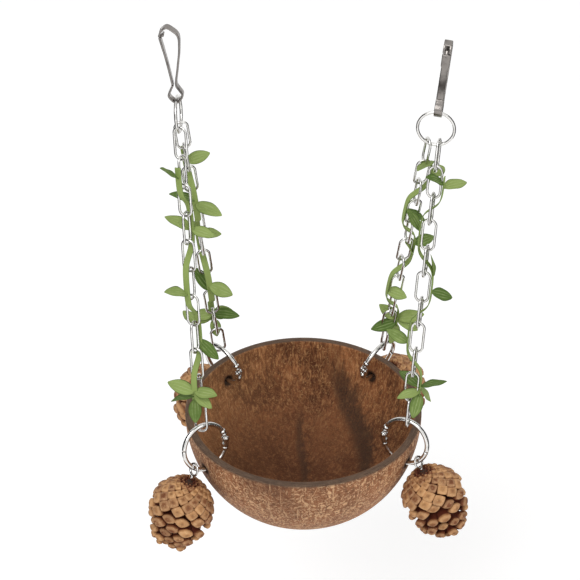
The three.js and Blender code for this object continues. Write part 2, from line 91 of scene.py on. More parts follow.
# Shader value: a node's output with Python's operators, each of which adds a Math node.
class Wire:
    def __init__(self, tree, socket=None):
        self.tree, self.socket = tree, socket

    def node(self, kind, settings=None, sockets=None, output=0):
        made = self.tree.nodes.new("ShaderNode" + kind)
        for key, setting in (settings or {}).items():
            setattr(made, key, setting)
        for key, value in (sockets or {}).items():
            self.feed(made.inputs[key], value)
        return Wire(self.tree, made.outputs[output])

    def other(self, output):  # another output of the same node
        return Wire(self.tree, self.socket.node.outputs[output])

    def feed(self, socket, value):
        if isinstance(value, Wire):
            self.tree.links.new(value.socket, socket)
        else:
            socket.default_value = value

    def math(self, operation, first, second=0.0):
        return self.node("Math", {"operation": operation}, {0: first, 1: second})

    def __add__(self, other):
        return self.math("ADD", self, other)

    def __sub__(self, other):
        return self.math("SUBTRACT", self, other)

    def __mul__(self, other):
        return self.math("MULTIPLY", self, other)

    def __abs__(self):
        return self.math("ABSOLUTE", self)

    def step(self, low, high, weight=1.0):  # 0 at low, the weight at high, smooth between and flat beyond
        return self.node("MapRange", {"interpolation_type": "SMOOTHSTEP"},
                         {"Value": self, "From Min": low, "From Max": high, "To Max": weight})

    # from the first colour at 0 to the second at 1; a Mix node's sockets for colours are 6, 7 and 2
    def colour(self, first, second):
        return self.node("Mix", {"data_type": "RGBA"}, {0: self, 6: first, 7: second}, 2)

    def noise(self, size, detail=3.0, roughness=0.55, distortion=0.0):  # size per metre, or for each axis
        spot, scale = self, size
        if isinstance(size, tuple):
            spot, scale = self.node("VectorMath", {"operation": "MULTIPLY"}, {0: self, 1: size}), 1.0
        return self.node("TexNoise", {}, {"Vector": spot, "Scale": scale, "Detail": detail,
                                          "Roughness": roughness, "Distortion": distortion})


def rgb(red, green, blue):  # from the 0 to 255 values that a screen shows, by the screen's own curve
    seen = np.array([red, green, blue]) / 255
    linear = np.where(seen < 0.04045, seen / 12.92, ((seen + 0.055) / 1.055) ** 2.4)
    return (*linear.tolist(), 1.0)


def grey(level):
    return (level, level, level, 1.0)


dryGloss = {"Specular IOR Level": 0.25}  # husk, bark and leaf cloth shine little


def newFinish(name):
    material = bpy.data.materials.new(name)
    material.use_nodes = True
    wire = Wire(material.node_tree)
    return material, wire, material.node_tree.nodes["Principled BSDF"]


def place(wire):  # a point's place on the object
    return wire.node("TexCoord", output="Object")


def layer(wire, name, output="Fac"):  # a value that the piece's points carry
    return wire.node("Attribute", {"attribute_name": name}, output=output)


# Colour, roughness and relief to the shader, with the values that are the same all over the piece.
def feedLook(wire, shader, colour, rough, relief, look):
    raised = wire.node("Bump", {}, {"Strength": look["bump"], "Distance": look["bumpDeep"],
                                    "Height": relief})
    wire.feed(shader.inputs["Base Color"], colour)
    wire.feed(shader.inputs["Roughness"], rough)
    wire.feed(shader.inputs["Normal"], raised)
    for key, value in look["fixed"].items():
        shader.inputs[key].default_value = value


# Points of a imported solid, at rest.
def nodePoints(name):
    mesh = frame["nodes"][name].data
    flat = np.empty(len(mesh.vertices) * 3, np.float32)
    mesh.vertices.foreach_get("co", flat)
    return flat.reshape(-1, 3).astype(float)


def boxMiddle(points):
    return (points.min(0) + points.max(0)) / 2


# Main ways through a cloud of points: its longest, the next and its shortest.
def mainWays(points):
    return np.linalg.svd(points - points.mean(0), full_matrices=False)[2]


# Points at the distances x, y and z along three of a piece's own axes, counted from a base.
def laidOut(base, x, y, z, axes, names=("out", "side", "up")):
    return base + sum(far[..., None] * axes[name] for far, name in zip((x, y, z), names))


def spun(x, y, turn):  # x and y turned by an angle
    return x * np.cos(turn) - y * np.sin(turn), x * np.sin(turn) + y * np.cos(turn)


# Grid of points to faces: each row joins the next row and each column the next column. The rows meet
# in a loop, or both end rows close on their own middle point. A leading axis holds copies of the grid.
def gridShape(points, loop=False, **layers):
    rows, columns = points.shape[-3:-1]
    grid = points.reshape(-1, rows, columns, 3)
    copies = len(grid)
    flat = grid.reshape(copies, rows * columns, 3)
    carried = {key: value.reshape(copies, rows * columns, *value.shape[points.ndim - 1:])
               for key, value in layers.items()}
    i = np.arange(rows if loop else rows - 1)[:, None]
    j = np.arange(columns)[None]
    beside, below = (j + 1) % columns, (i + 1) % rows
    quads = np.stack([i * columns + j, i * columns + beside,
                      below * columns + beside, below * columns + j], -1).reshape(-1, 4)
    tris = np.zeros((0, 3), int)
    if not loop:
        flat = np.concatenate([flat, grid[:, [0, -1]].mean(axis=2)], 1)
        carried = {key: np.concatenate([value, value[:, :1], value[:, -2:-1]], 1)
                   for key, value in carried.items()}
        k = np.arange(columns)
        count, last = rows * columns, (rows - 1) * columns
        startCap = np.stack([(k + 1) % columns, k, np.full(columns, count)], 1)
        endCap = np.stack([last + k, last + (k + 1) % columns, np.full(columns, count + 1)], 1)
        tris = np.concatenate([startCap, endCap])
    shift = np.arange(copies)[:, None, None] * flat.shape[1]
    return dict(points=flat.reshape(-1, 3), quads=(quads + shift).reshape(-1, 4),
                tris=(tris + shift).reshape(-1, 3),
                layers={key: value.reshape(-1, *value.shape[2:]) for key, value in carried.items()})


# Profile along a path: each row of points is the profile, laid out along the two across directions.
def sweep(path, acrossX, acrossY, profileX, profileY):
    return (path[..., None, :] + profileX[..., None] * acrossX[..., None, :]
            + profileY[..., None] * acrossY[..., None, :])


# Circle: the cosine and sine of even steps of a turn, times the radius.
def roundProfile(radius, sides):
    turn = np.arange(sides) * 2 * np.pi / sides
    return radius * np.cos(turn), radius * np.sin(turn)


# Flat bar with rounded edges: a superellipse, whose power sets how square its corners are.
def barProfile(thick, wide, sides, power):
    turn = (np.arange(sides) + 0.5) * 2 * np.pi / sides
    bent = [np.sign(wave) * np.abs(wave) ** power for wave in (np.cos(turn), np.sin(turn))]
    return thick / 2 * bent[0], wide / 2 * bent[1]


# Wire loop: two half turns of the bend radius, held apart by the straight, with a round section.
def wireLoop(centre, wideAxis, longAxis, bend, straight, size):
    turn = (np.arange(size["steps"]) + 0.5) * 2 * np.pi / size["steps"]
    out = np.cos(turn)[:, None] * wideAxis + np.sin(turn)[:, None] * longAxis
    path = centre + bend * out + (np.sign(np.sin(turn)) * straight)[:, None] * longAxis
    x, y = roundProfile(size["wire"] / 2, size["sides"])
    return gridShape(sweep(path, out, np.cross(longAxis, wideAxis), x, y), loop=True)


anyWay = (0.31, 0.57, 0.76)  # a direction that no turned piece lies along


# Turned piece: a circle of each radius at each height along the axis.
def turned(base, axis, heights, radii, sides=16):
    axis = unit(axis)
    side = unit(np.cross(axis, anyWay))
    path = base + np.array(heights)[:, None] * axis
    x, y = roundProfile(1.0, sides)
    radii = np.array(radii)[:, None]
    return gridShape(sweep(path, side, np.cross(axis, side), radii * x, radii * y))


# Rod: a turned piece of one radius, eased down to its tip radius over a short edge at both ends.
def rod(base, axis, length, radius, tip, edge, sides=16):
    return turned(base, axis, [0, edge, length - edge, length], [tip, radius, radius, tip], sides)


def makePiece(name, shapes, finish, body, nodes):
    shifts = np.cumsum([0] + [len(shape["points"]) for shape in shapes])
    points = np.concatenate([shape["points"] for shape in shapes])
    quads = np.concatenate([shape["quads"] + shift for shape, shift in zip(shapes, shifts)])
    tris = np.concatenate([shape["tris"] + shift for shape, shift in zip(shapes, shifts)])
    mesh = bpy.data.meshes.new(name)
    mesh.from_pydata(points.tolist(), [], quads.tolist() + tris.tolist())
    mesh.polygons.foreach_set("use_smooth", np.ones(len(mesh.polygons), bool))
    for key in shapes[0]["layers"]:
        values = np.concatenate([shape["layers"][key] for shape in shapes])
        kind, part = ("FLOAT", "value") if values.ndim == 1 else ("FLOAT_VECTOR", "vector")
        carried = mesh.attributes.new(key, kind, "POINT")
        carried.data.foreach_set(part, values.astype(np.float32).ravel())
    mesh.materials.append(finish)
    mesh.update()
    piece = addObject(name, mesh)
    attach(piece, body)
    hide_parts(*nodes)


# A hinged ring's own axes: out from its hinge, along the hinge pin, and up. Its middle is that of the
# circle that fits its points best.
def ringFrame(corner):
    joint = joints[f"{corner}_ring_open"]
    hinge, along = np.array(joint["pos_m"]), -unit(np.array(joint["axis"]))
    halves = [nodePoints(f"{corner}_ring_{half}") for half in ("lower", "upper")]
    points = np.concatenate(halves) - hinge
    side = unit(np.cross(along, [0, 0, 1]))
    up = np.cross(side, along)
    x, z = points @ side, points @ up
    known = np.stack([2 * x, 2 * z, np.ones_like(x)], 1)
    middle = np.linalg.lstsq(known, x * x + z * z, rcond=None)[0]
    out = unit(middle[0] * side + middle[1] * up)
    return dict(hinge=hinge, out=out, along=along, up=np.cross(out, along))


ringFrames = {corner: ringFrame(corner) for corner in corners}

# coconut shell
shell = dict(
    rim=61 * mm, depth=62.5 * mm, wall=4 * mm, rounding=0.7 * mm, rows=74, lipRows=3, columns=288,
    wobble=0.22 * mm, waves=(2, 3, 5),  # how far the wall wanders, in so many waves round
    hole=5.2 * mm, holeDrop=12.2 * mm,
    # the third of these counts how far the painted shade round a hole reaches
    holeCells=2, bentCells=7, shadeCells=3.2,  # in grid cells from a hole's middle
    insideFrom=2, insideOver=4, cutFrom=-2, cutTo=8, cutSoft=2,  # in rows past the outside
    grainReach=60 * mm, rimShare=0.99,
    streakAt=33.5 * mm, streakFrom=20 * mm, streakBend=13.7, faintAt=1 * mm,
    cloudDrift=11 * mm, fibreDrift=6 * mm,
    # colours
    inside=rgb(182, 120, 76), insideDarkAndShade=rgb(92, 54, 32), insidePale=rgb(222, 170, 116),
    streak=rgb(66, 48, 36), outside=rgb(170, 112, 74), outsideDark=rgb(98, 60, 38),
    fleck=rgb(228, 184, 140), cut=rgb(76, 60, 49), cutPale=rgb(108, 88, 72), drilled=rgb(44, 30, 22),
    # patterns: size per metre, detail, roughness and distortion
    fibre=((560, 560, 120), 4, 0.62, 0.7), fine=((1700, 1700, 500), 3, 0.6), cloud=(34, 3),
    longHair=(90, 2, 0.5, 3.2), shortHair=((230, 230, 80.5), 2, 0.5, 2.4), blotch=(480, 2),
    curl=(330, 3, 0.62, 2.4), speck=(760, 3, 0.6, 1.2), dash=((700, 700, 36), 2, 0.5),
    saw=((160, 160, 2600), 3),
    # layers of the look: from, to and weight
    longLine=(0.02, 0.002), shortLine=(0.04, 0.005),
    streakWide=(6.6 * mm, 1.6 * mm, 0.9), streakBack=(56 * mm, 46 * mm), streakFront=(-12 * mm, 8 * mm),
    faintWide=(3.4 * mm, 0.6 * mm, 0.7), faintBack=(46 * mm, 38 * mm), faintFront=(0, 12 * mm),
    insideMix=(0.9, 1.55), insideShare=1.2, fineDark=(0.46, 0.3, 0.5), fibrePale=(0.54, 0.72, 0.45),
    hairPale=(0.35, 0.6, 0.55), leftPale=(0, -50 * mm, 0.18), deepPaintedShade=(-226 * mm, -272 * mm, 0.66),
    streakWorn=(0.1, 0.6), outsideMix=(0.35, 1.15), fibreShare=0.6, cloudShare=0.9,
    blotchDark=(0.47, 0.3, 0.75), curlLine=(0.5, 0.6), curlPale=(0.2, 0.55, 0.8), speckLine=(0.52, 0.68),
    speckPale=0.4, dashPale=(0.6, 0.7, 0.45), sawPale=(0.35, 0.7), cutShare=0.92, drilledShare=0.85,
    rough=0.55, fineRough=0.25, fibreRise=0.5, fineRise=0.4, hairRise=0.2, curlRise=0.25,
    bump=0.7, bumpDeep=0.6 * mm, fixed=dryGloss)


# The shell's own axes: the plane of its rim, and up from it.
def shellFrame():
    points = nodePoints("coconut_bowl")
    reach = np.hypot(*(points - boxMiddle(points))[:, :2].T)
    edge = points[reach > shell["rimShare"] * reach.max()]
    up = mainWays(edge)[2]
    up = up * np.sign(up[2])
    out = unit(np.array([1, 0, 0]) - up[0] * up)
    return dict(centre=edge.mean(0), out=out, side=np.cross(up, out), up=up)


# Shell profile, as distance from the axis and height from the rim: up an oval on the outside, over a
# quarter turn of rounding, across the cut, over the other rounding and down a smaller oval inside.
def shellProfile():
    rows, steps, rounding = shell["rows"], shell["lipRows"], shell["rounding"]
    turn = (np.arange(rows) + 1) / rows * np.pi / 2
    inRim, inDepth = shell["rim"] - shell["wall"], shell["depth"] - shell["wall"]
    outer = np.stack([shell["rim"] * np.sin(turn), -shell["depth"] * np.cos(turn)], 1)
    inner = np.stack([inRim * np.sin(turn), -inDepth * np.cos(turn)], 1)[::-1]
    outer[:, 1] -= rounding
    inner[:, 1] -= rounding
    outer[:, 1] *= shell["depth"] / (shell["depth"] + rounding)
    bend = np.linspace(0, np.pi / 2, steps + 1)[1:]
    lip = np.stack([rounding * (np.cos(bend) - 1), rounding * np.sin(bend)], 1)
    outLip, inLip = outer[-1] + lip, inner[0] - lip[::-1] * [1, -1]
    cut = inner[0] + [rounding, rounding] - outLip[-1]
    flat = np.linspace(0, 1, steps + 2)[1:-1, None] * cut + outLip[-1]
    return np.concatenate([outer, outLip, flat, inLip, inner])


# Drilled holes: on both walls, the block of cells about a hole bends from straight lines to circles round
# it. The cells in its middle come out, and a band of faces joins the two edges that are left. The cells
# nearest a hole also get a weight of painted shade, which darkens the wall in and round the hole.
def drillHoles(profile, radius, height, angle, drilled, axes):
    rows, columns, total = shell["rows"], shell["columns"], len(profile)
    hole, bent, dark = shell["holeCells"], shell["bentCells"], shell["shadeCells"]
    block, cells = np.arange(-bent, bent + 1), np.arange(-hole, hole)
    ringOf = np.maximum(np.abs(block)[:, None], np.abs(block)[None])
    aim = np.arctan2(block[:, None], block[None])
    share = np.clip((bent - ringOf) / (bent - hole), 0, 1)
    halfWalk = [(-hole, k) for k in cells] + [(k, hole) for k in cells]
    walk = np.array(halfWalk + [(-a, -b) for a, b in halfWalk])
    keep, bands = np.ones((total - 1, columns), bool), []
    for corner in corners:
        out = ringFrames[corner]["out"]
        middle = math.atan2(out @ axes["side"], out @ axes["out"]) % (2 * np.pi)
        column = int(round(middle / (2 * np.pi) * columns))
        loops = []
        for low, way in ((0, 1), (total - 1, -1)):  # the outside, then the inside, each from its foot
            line = profile[low::way][:rows]
            row = int(np.abs(line[:, 1] + shell["holeDrop"]).argmin())
            spot = np.ix_(low + way * (row + block), (column + block) % columns)
            reach = line[row, 0]
            cell = 2 * np.pi * reach / columns
            across = ((angle[spot] - middle + np.pi) % (2 * np.pi) - np.pi) * reach
            upward = height[spot] + shell["holeDrop"]
            size = shell["hole"] / 2 + (ringOf - hole) * cell
            across = across + share * (size * np.cos(aim) - across)
            upward = upward + share * (size * np.sin(aim) - upward)
            order = np.argsort(line[:, 1])
            # painted shade: a weight of 1 at the hole's edge, which fades out a cell further on
            drilled[spot] = np.clip((dark - ringOf) / (dark - hole), 0, 1)
            height[spot] = upward - shell["holeDrop"]
            angle[spot] = middle + across / reach
            radius[spot] = np.interp(height[spot], line[order, 1], line[order, 0])
            gone = low + way * (row + cells) - (way < 0)
            keep[np.ix_(gone, (column + cells) % columns)] = False
            loops.append((low + way * (row + walk[:, 0])) * columns + (column + walk[:, 1]) % columns)
        outEdge, inEdge = loops
        bands.append(np.stack([outEdge, np.roll(outEdge, -1), np.roll(inEdge, -1), inEdge], 1))
    return keep, bands


# Half shell: the profile turned about its axis, with the holes drilled, and a wall that wanders by a
# few sine waves round.
def shellShape(axes):
    rows, columns, profile = shell["rows"], shell["columns"], shellProfile()
    around = np.arange(columns) * 2 * np.pi / columns
    radius, height = (np.repeat(profile[:, [part]], columns, 1) for part in (0, 1))
    angle = np.repeat(around[None], len(profile), 0)
    drilled = np.zeros_like(angle)
    keep, bands = drillHoles(profile, radius, height, angle, drilled, axes)
    swell = sum(np.sin(k * angle + k * k) / k for k in shell["waves"]) * shell["wobble"]
    radius = radius + swell * np.sqrt(radius / shell["rim"])
    points = laidOut(axes["centre"], radius * np.cos(angle), radius * np.sin(angle), height, axes)
    line = np.concatenate([[0], np.cumsum(np.linalg.norm(np.diff(profile, axis=0), axis=1))])
    past = np.arange(len(profile)) - rows  # rows past the outside
    inside = np.clip((past - shell["insideFrom"]) / shell["insideOver"], 0, 1)
    cutBand = np.minimum(past - shell["cutFrom"], shell["cutTo"] - past)
    cutBand = np.clip(cutBand / shell["cutSoft"], 0, 1)
    inside, cutBand, line = (np.repeat(value[:, None], columns, 1) for value in (inside, cutBand, line))
    grain = np.stack([shell["grainReach"] * np.cos(angle), shell["grainReach"] * np.sin(angle), line], -1)
    shape = gridShape(points, inside=inside, cutBand=cutBand, grain=grain, drilled=drilled)
    shape["quads"] = np.concatenate([shape["quads"][keep.ravel()]] + bands)
    return shape


def shellFinish():
    material, wire, shader = newFinish("coconutShell")
    look, here, grain = shell, place(wire), layer(wire, "grain", "Vector")
    inside, cutBand, drilled = (layer(wire, name) for name in ("inside", "cutBand", "drilled"))
    fibre, fine, cloud = (here.noise(*look[name]) for name in ("fibre", "fine", "cloud"))
    hair = abs(here.noise(*look["longHair"]) - 0.5).step(*look["longLine"])
    hair = hair + abs(here.noise(*look["shortHair"]) - 0.5).step(*look["shortLine"])
    x = wire.node("SeparateXYZ", {}, {0: here})
    y, z = x.other("Y"), x.other("Z")
    # dark streaks in the bowl, which run to the back and bend with the wall
    drift = (cloud - 0.5) * look["cloudDrift"] + (fibre - 0.5) * look["fibreDrift"]
    beyond = wire.math("MAXIMUM", y - look["streakFrom"], 0.0)
    streak = abs(x + beyond * beyond * look["streakBend"] + drift - look["streakAt"])
    streak = streak.step(*look["streakWide"]) * y.step(*look["streakBack"]) * y.step(*look["streakFront"])
    faint = abs(x + drift - look["faintAt"]).step(*look["faintWide"])
    faint = faint * y.step(*look["faintBack"]) * y.step(*look["faintFront"])
    # the inside: fibres and clouds, pale hairs, a paler left wall and a floor darkened by painted shade
    within = (fibre * look["insideShare"] + cloud * look["insideShare"]).step(*look["insideMix"])
    within = within.colour(look["insideDarkAndShade"], look["inside"])
    within = fine.step(*look["fineDark"]).colour(within, look["insideDarkAndShade"])
    within = fibre.step(*look["fibrePale"]).colour(within, look["insidePale"])
    within = (hair * fine.step(*look["hairPale"])).colour(within, look["insidePale"])
    within = x.step(*look["leftPale"]).colour(within, look["insidePale"])
    # painted shade: the inside darkens towards the bottom of the bowl
    within = z.step(*look["deepPaintedShade"]).colour(within, look["insideDarkAndShade"])
    within = ((streak + faint) * fine.step(*look["streakWorn"])).colour(within, look["streak"])
    # the outside: the same fibres under curls, specks and dashes of pale husk
    curl = here.noise(*look["curl"]).step(*look["curlLine"])
    speck = here.noise(*look["speck"]).step(*look["speckLine"])
    dash = grain.noise(*look["dash"]).step(*look["dashPale"])
    without = (fibre * look["fibreShare"] + cloud * look["cloudShare"]).step(*look["outsideMix"])
    without = without.colour(look["outsideDark"], look["outside"])
    without = here.noise(*look["blotch"]).step(*look["blotchDark"]).colour(without, look["outsideDark"])
    without = (curl * cloud.step(*look["curlPale"])).colour(without, look["fleck"])
    without = (speck * look["speckPale"] + dash).colour(without, look["fleck"])
    body = inside.colour(without, within)
    sawn = grain.noise(*look["saw"]).step(*look["sawPale"]).colour(look["cut"], look["cutPale"])
    body = (cutBand * look["cutShare"]).colour(body, sawn)
    # painted shade in and round the drilled holes
    body = (drilled * look["drilledShare"]).colour(body, look["drilled"])
    relief = fibre * look["fibreRise"] + fine * look["fineRise"] + hair * look["hairRise"]
    relief = relief + (curl + speck) * look["curlRise"]
    feedLook(wire, shader, body, fine * look["fineRough"] + look["rough"], relief, look)
    return material


shellAxes = shellFrame()
makePiece("coconutShell", [shellShape(shellAxes)], shellFinish(), "bowl", ["coconut_bowl"])
print("coconut shell made")

# bright nickel wire: chains, jump rings, hinged rings and the cones' eyes
metal = dict(wearAndReflectionDetail=4, wearAndDarkReflection=(0.42, 0.75), wearAndReflectionRough=0.12, scratch=((1900, 1900, 285), 2),
             scratchLine=(0.45, 0.8), scratchRough=0.08, bump=0.4, bumpDeep=0.05 * mm,
             fixed={"Metallic": 1.0})
nickel = dict(bright=(0.72, 0.71, 0.69, 1), dullAndDarkReflection=(0.42, 0.40, 0.38, 1), rough=0.13, patch=260, worn=0.45)
chain = dict(count=11, length=17.8 * mm, width=7.7 * mm, wire=1.3 * mm, steps=32, sides=12, vineNear=0.2)
jumpRing = dict(wire=1.6 * mm, steps=72, sides=14)
ring = dict(
    radius=12.1 * mm, wire=2.4 * mm, sides=20, arcSteps=40, claspSteps=8,
    step=0.15 * mm, overlap=2.0 * mm, claspFull=0.03, claspCut=0.028,  # the last two in radians
    hingeGap=2.6 * mm, upperShare=0.7, knuckle=1.5 * mm, edge=0.2 * mm,
    tongue=1.2 * mm, tongueGap=0.3 * mm, tongueTip=0.8, cheek=0.9 * mm, cheekTaper=(0.6, 0.86, 1, 1, 0.8),
    armDown=4.2 * mm, armOut=0.75 * mm, armIn=0.25 * mm, armWide=1.7, armRows=6, armSides=12, armPower=0.6,
    pin=0.62 * mm, pinTip=0.4 * mm, pinEdge=0.12 * mm, pinProud=0.25 * mm,
    collar=1.7 * mm, collarSides=8, collarSpan=(0.02, 0.3),
    collarTaper=(0.72, 0.95, 1, 0.84, 0.84, 1, 1, 0.92, 0.72))


def metalFinish(name, look):
    material, wire, shader = newFinish(name)
    here = place(wire)
    # the mask mixes in the dull colour: some real wear on the nickel, and on the clip steel, whose dull
    # colour is near black, mostly painted dark reflection
    wearAndDarkReflection = here.noise(look["patch"], metal["wearAndReflectionDetail"]).step(*metal["wearAndDarkReflection"])
    scratch = here.noise(*metal["scratch"]).step(*metal["scratchLine"])
    colour = (wearAndDarkReflection * look["worn"]).colour(look["bright"], look["dullAndDarkReflection"])
    rough = wearAndDarkReflection * metal["wearAndReflectionRough"] + scratch * metal["scratchRough"] + look["rough"]
    feedLook(wire, shader, colour, rough, scratch + wearAndDarkReflection, metal)
    return material


# A chain's own axes: down its length, and across its odd and its even links. The first link's points
# spread most along it and next most across it.
def chainFrame(corner):
    first, last = (nodePoints(f"{corner}_link_{i}") for i in (1, chain["count"]))
    top, foot = boxMiddle(first), boxMiddle(last)
    up = unit(top - foot)
    pitch = np.linalg.norm(top - foot) / (chain["count"] - 1)
    odd = mainWays(first)[1]
    odd = unit(odd - (odd @ up) * up)
    even = np.cross(odd, up)
    ribbon = nodePoints(f"{corner}_vine") - top
    second = np.abs(ribbon @ up + pitch) < chain["vineNear"] * pitch
    flip = -np.sign((ribbon[second] @ even).mean())  # the ribbon starts on the minus side
    return dict(top=top, up=up, odd=odd * flip, even=even * flip, pitch=pitch)


# Chain: one wire loop at each pitch down its length, flat in turn across the odd and the even way.
def chainShapes(axes):
    bend, straight = (chain["width"] - chain["wire"]) / 2, (chain["length"] - chain["width"]) / 2
    return [wireLoop(axes["top"] - axes["up"] * axes["pitch"] * i, axes["even" if i % 2 else "odd"],
                     axes["up"], bend, straight, chain) for i in range(chain["count"])]


# Jump ring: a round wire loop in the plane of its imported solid, and as wide.
def jumpRingShape(side):
    points = nodePoints(f"{side}_jump_ring")
    centre, normal = boxMiddle(points), mainWays(points)[2]
    reach = np.linalg.norm(points - centre, axis=1).max() - jumpRing["wire"] / 2
    across = unit(np.cross(normal, [0, 0, 1]))
    return wireLoop(centre, across, np.cross(normal, across), reach, 0, jumpRing)


# Line round a hinged ring: a circle about its middle, which is one radius out from the hinge.
def ringPath(axes, angles):
    out = np.cos(angles)[:, None] * axes["out"] + np.sin(angles)[:, None] * axes["up"]
    return axes["hinge"] + ring["radius"] * (axes["out"] + out), out


# Half of a hinged ring: round wire along an arc about the ring's middle. Past the step of the
# clasp only the half section on one side of the ring's plane stays.
def ringArc(axes, angles, halved, keepSide):
    path, out = ringPath(axes, angles)
    x, y = roundProfile(ring["wire"] / 2, ring["sides"])
    cut = keepSide * np.maximum(keepSide * y, ring["step"])
    return gridShape(sweep(path, out, axes["along"], x, np.where(halved[:, None], cut, y)))


# Hinged ring in its two halves, which lap in the clasp. The lower has two cheeks on the pin, each with
# a bar down to the wire, and the upper has the tongue between them. A collar swells each wire's end.
def ringShapes(axes):
    hinge, pin = axes["hinge"], axes["along"]
    arcSteps, claspSteps = ring["arcSteps"], ring["claspSteps"]
    lap, gap = ring["overlap"] / ring["radius"], ring["hingeGap"] / ring["radius"]
    full, cut, upperGap = lap + ring["claspFull"], lap + ring["claspCut"], gap * ring["upperShare"]
    share, index = np.linspace(0, 1, arcSteps), np.arange(arcSteps + claspSteps)
    low = np.concatenate([np.pi + gap + share * (np.pi - gap - full),
                          2 * np.pi + np.linspace(-cut, lap, claspSteps)])
    high = np.concatenate([np.linspace(-lap, cut, claspSteps), full + share * (np.pi - upperGap - full)])
    lower = [ringArc(axes, low, index >= arcSteps, 1)]
    upper = [ringArc(axes, high, index < claspSteps, -1)]
    cheek, edge, inner = ring["cheek"], ring["edge"], ring["tongue"] / 2 + ring["tongueGap"]
    cheekLevels = [0, 0, edge, cheek - edge, cheek]
    cheekRadii = np.array(ring["cheekTaper"]) * ring["knuckle"]
    arm = np.linspace(0, 1, ring["armRows"])[:, None]
    armReach = ring["armOut"] * axes["out"] - ring["armDown"] * axes["up"]
    x, y = barProfile(ring["knuckle"] * ring["armWide"], cheek, ring["armSides"], ring["armPower"])
    for side in (1, -1):
        lower.append(turned(hinge + side * inner * pin, side * pin, cheekLevels, cheekRadii, ring["sides"]))
        path = hinge + arm * armReach + side * (inner + cheek / 2 - arm * ring["armIn"]) * pin
        lower.append(gridShape(sweep(path, axes["out"], pin, x, -y)))
    reach = inner + cheek + ring["pinProud"]
    lower.append(rod(hinge - pin * reach, pin, 2 * reach, ring["pin"], ring["pinTip"], ring["pinEdge"]))
    x, y = roundProfile(1.0, ring["collarSides"])
    size = ring["collar"] * np.array(ring["collarTaper"])[:, None]
    for first, way, parts in ((np.pi + gap, 1, lower), (np.pi - upperGap, -1, upper)):
        path, out = ringPath(axes, first + way * np.linspace(*ring["collarSpan"], len(size)))
        parts.append(gridShape(sweep(path, out, way * pin, size * x, size * y)))
    tongue, knuckle = ring["tongue"], ring["knuckle"]
    upper.append(rod(hinge - tongue / 2 * pin, pin, tongue, knuckle, ring["tongueTip"] * knuckle, edge,
                     ring["sides"]))
    return lower, upper


nickelWire = metalFinish("nickelWire", nickel)
chainFrames = {corner: chainFrame(corner) for corner in corners}
linkNames = ["link_1", "links_2_3", "link_4", "links_5_6", "link_7", "links_8_9", "link_10", "link_11"]
for corner in corners:
    side = corner.split("_")[1]
    makePiece(f"{corner}_chain", chainShapes(chainFrames[corner]), nickelWire, f"{side}_chains",
              [f"{corner}_{name}" for name in linkNames])
    lower, upper = ringShapes(ringFrames[corner])
    makePiece(f"{corner}_ring_through_shell", lower, nickelWire, "bowl",
              [f"{corner}_ring_lower"])
    makePiece(f"{corner}_ring_bow", upper, nickelWire, f"{corner}_ring_top",
              [f"{corner}_ring_upper"])
for side in ("left", "right"):
    makePiece(f"{side}_round_link", [jumpRingShape(side)], nickelWire, f"{side}_ring",
              [f"{side}_jump_ring"])
print("chains and rings made")

# pine cones, with shut scales near the stem and open ones towards the tip
cone = dict(
    rows=11, perRow=12, crownRows=2, crown=(0.33, 0.63), crownLevel=0.4, fineSteps=401, seed=20,
    radius=17.6 * mm, height=38 * mm, stemEnd=0.07, bellySpan=0.80, bellyLow=0.85, bellyFull=0.75,
    openFrom=0.2, openOver=0.3, openSpread=0.4, openShort=0.46, openNarrow=0.1, openDrop=7 * mm,
    openRoot=0.65, shutDeep=6 * mm, turnUp=7, turnShare=0.7, proud=0.13, boss=0.3 * mm,
    plateWide=0.925, plateTall=0.925, plateSides=12, shutRound=0.36, openRound=0.3,
    # each scale from its root to its plate: how far along, how wide, how tall and how much it shows
    scaleAlong=(0.0, 0.4, 0.66, 0.81, 0.93, 0.985), scaleWide=(0.5, 0.7, 0.92, 1.0, 0.88, 0.5),
    scaleTall=(0.35, 0.48, 0.75, 1.0, 0.88, 0.5), scaleShown=(0, 0, 0.2, 0.7, 0.92, 1.0), bossShown=1.6,
    # how loosely the scales grow
    leanLoose=0.05, shutLean=0.6, openLean=2.2, roundLoose=0.02, sunk=0.2 * mm, ragged=3.0 * mm,
    dropLoose=(-0.3, 0.6), sizeLoose=0.03, openLoose=3,
    # painted shade: the scales near the stem show less of their plate colour, row by row
    stemShade=0.66, shadePerRow=0.17, darkestShade=0.34,  # scales close to the stem are darker
    core=0.76, openCore=0.36, coreSpan=(0.92, 0.03), coreRows=24, coreSides=28, coreTint=0.2,
    domeLevels=(-3 * mm, -1 * mm, -0.4 * mm, 0), domeRadii=(3.4 * mm, 2.4 * mm, 1.7 * mm, 0.9 * mm),
    domeSides=24, domeShown=-0.5,
    # colours, patterns and layers of the look, as on the shell
    plateTan=rgb(192, 142, 94), plateRed=rgb(122, 72, 43), tongue=rgb(90, 40, 24), stem=rgb(58, 42, 32),
    umbo=rgb(92, 56, 36), edge=rgb(232, 190, 142),
    grainy=(700, 4, 0.6), patch=(150, 3), tintShare=0.6, patchShare=0.7, plateMix=(0.34, 0.96),
    grainPale=(0.5, 0.75, 0.5), grainRed=(0.48, 0.25, 0.5), edgeIn=(0.75, 0.9, 0.3),
    edgeOut=(0.9, 1.1, 0.3), stemTo=(-0.5, 0.0), plateFrom=(0.3, 0.88), umboFrom=(1.12, 1.5),
    umboPatch=(0.3, 0.6, 0.45),
    ridges=7.0, ridgeFrom=(0.9, 1.0, 0.7), rough=0.52, grainRough=0.25,
    bump=0.7, bumpDeep=0.3 * mm, fixed=dryGloss)
screwEye = dict(inside=5 * mm, wire=1.2 * mm, steps=40, sides=12, shank=1.6 * mm, shankInCone=6 * mm,
                shankShown=3 * mm, shankTip=0.4 * mm, shankTaper=(0.5, 0.5, 0.38))


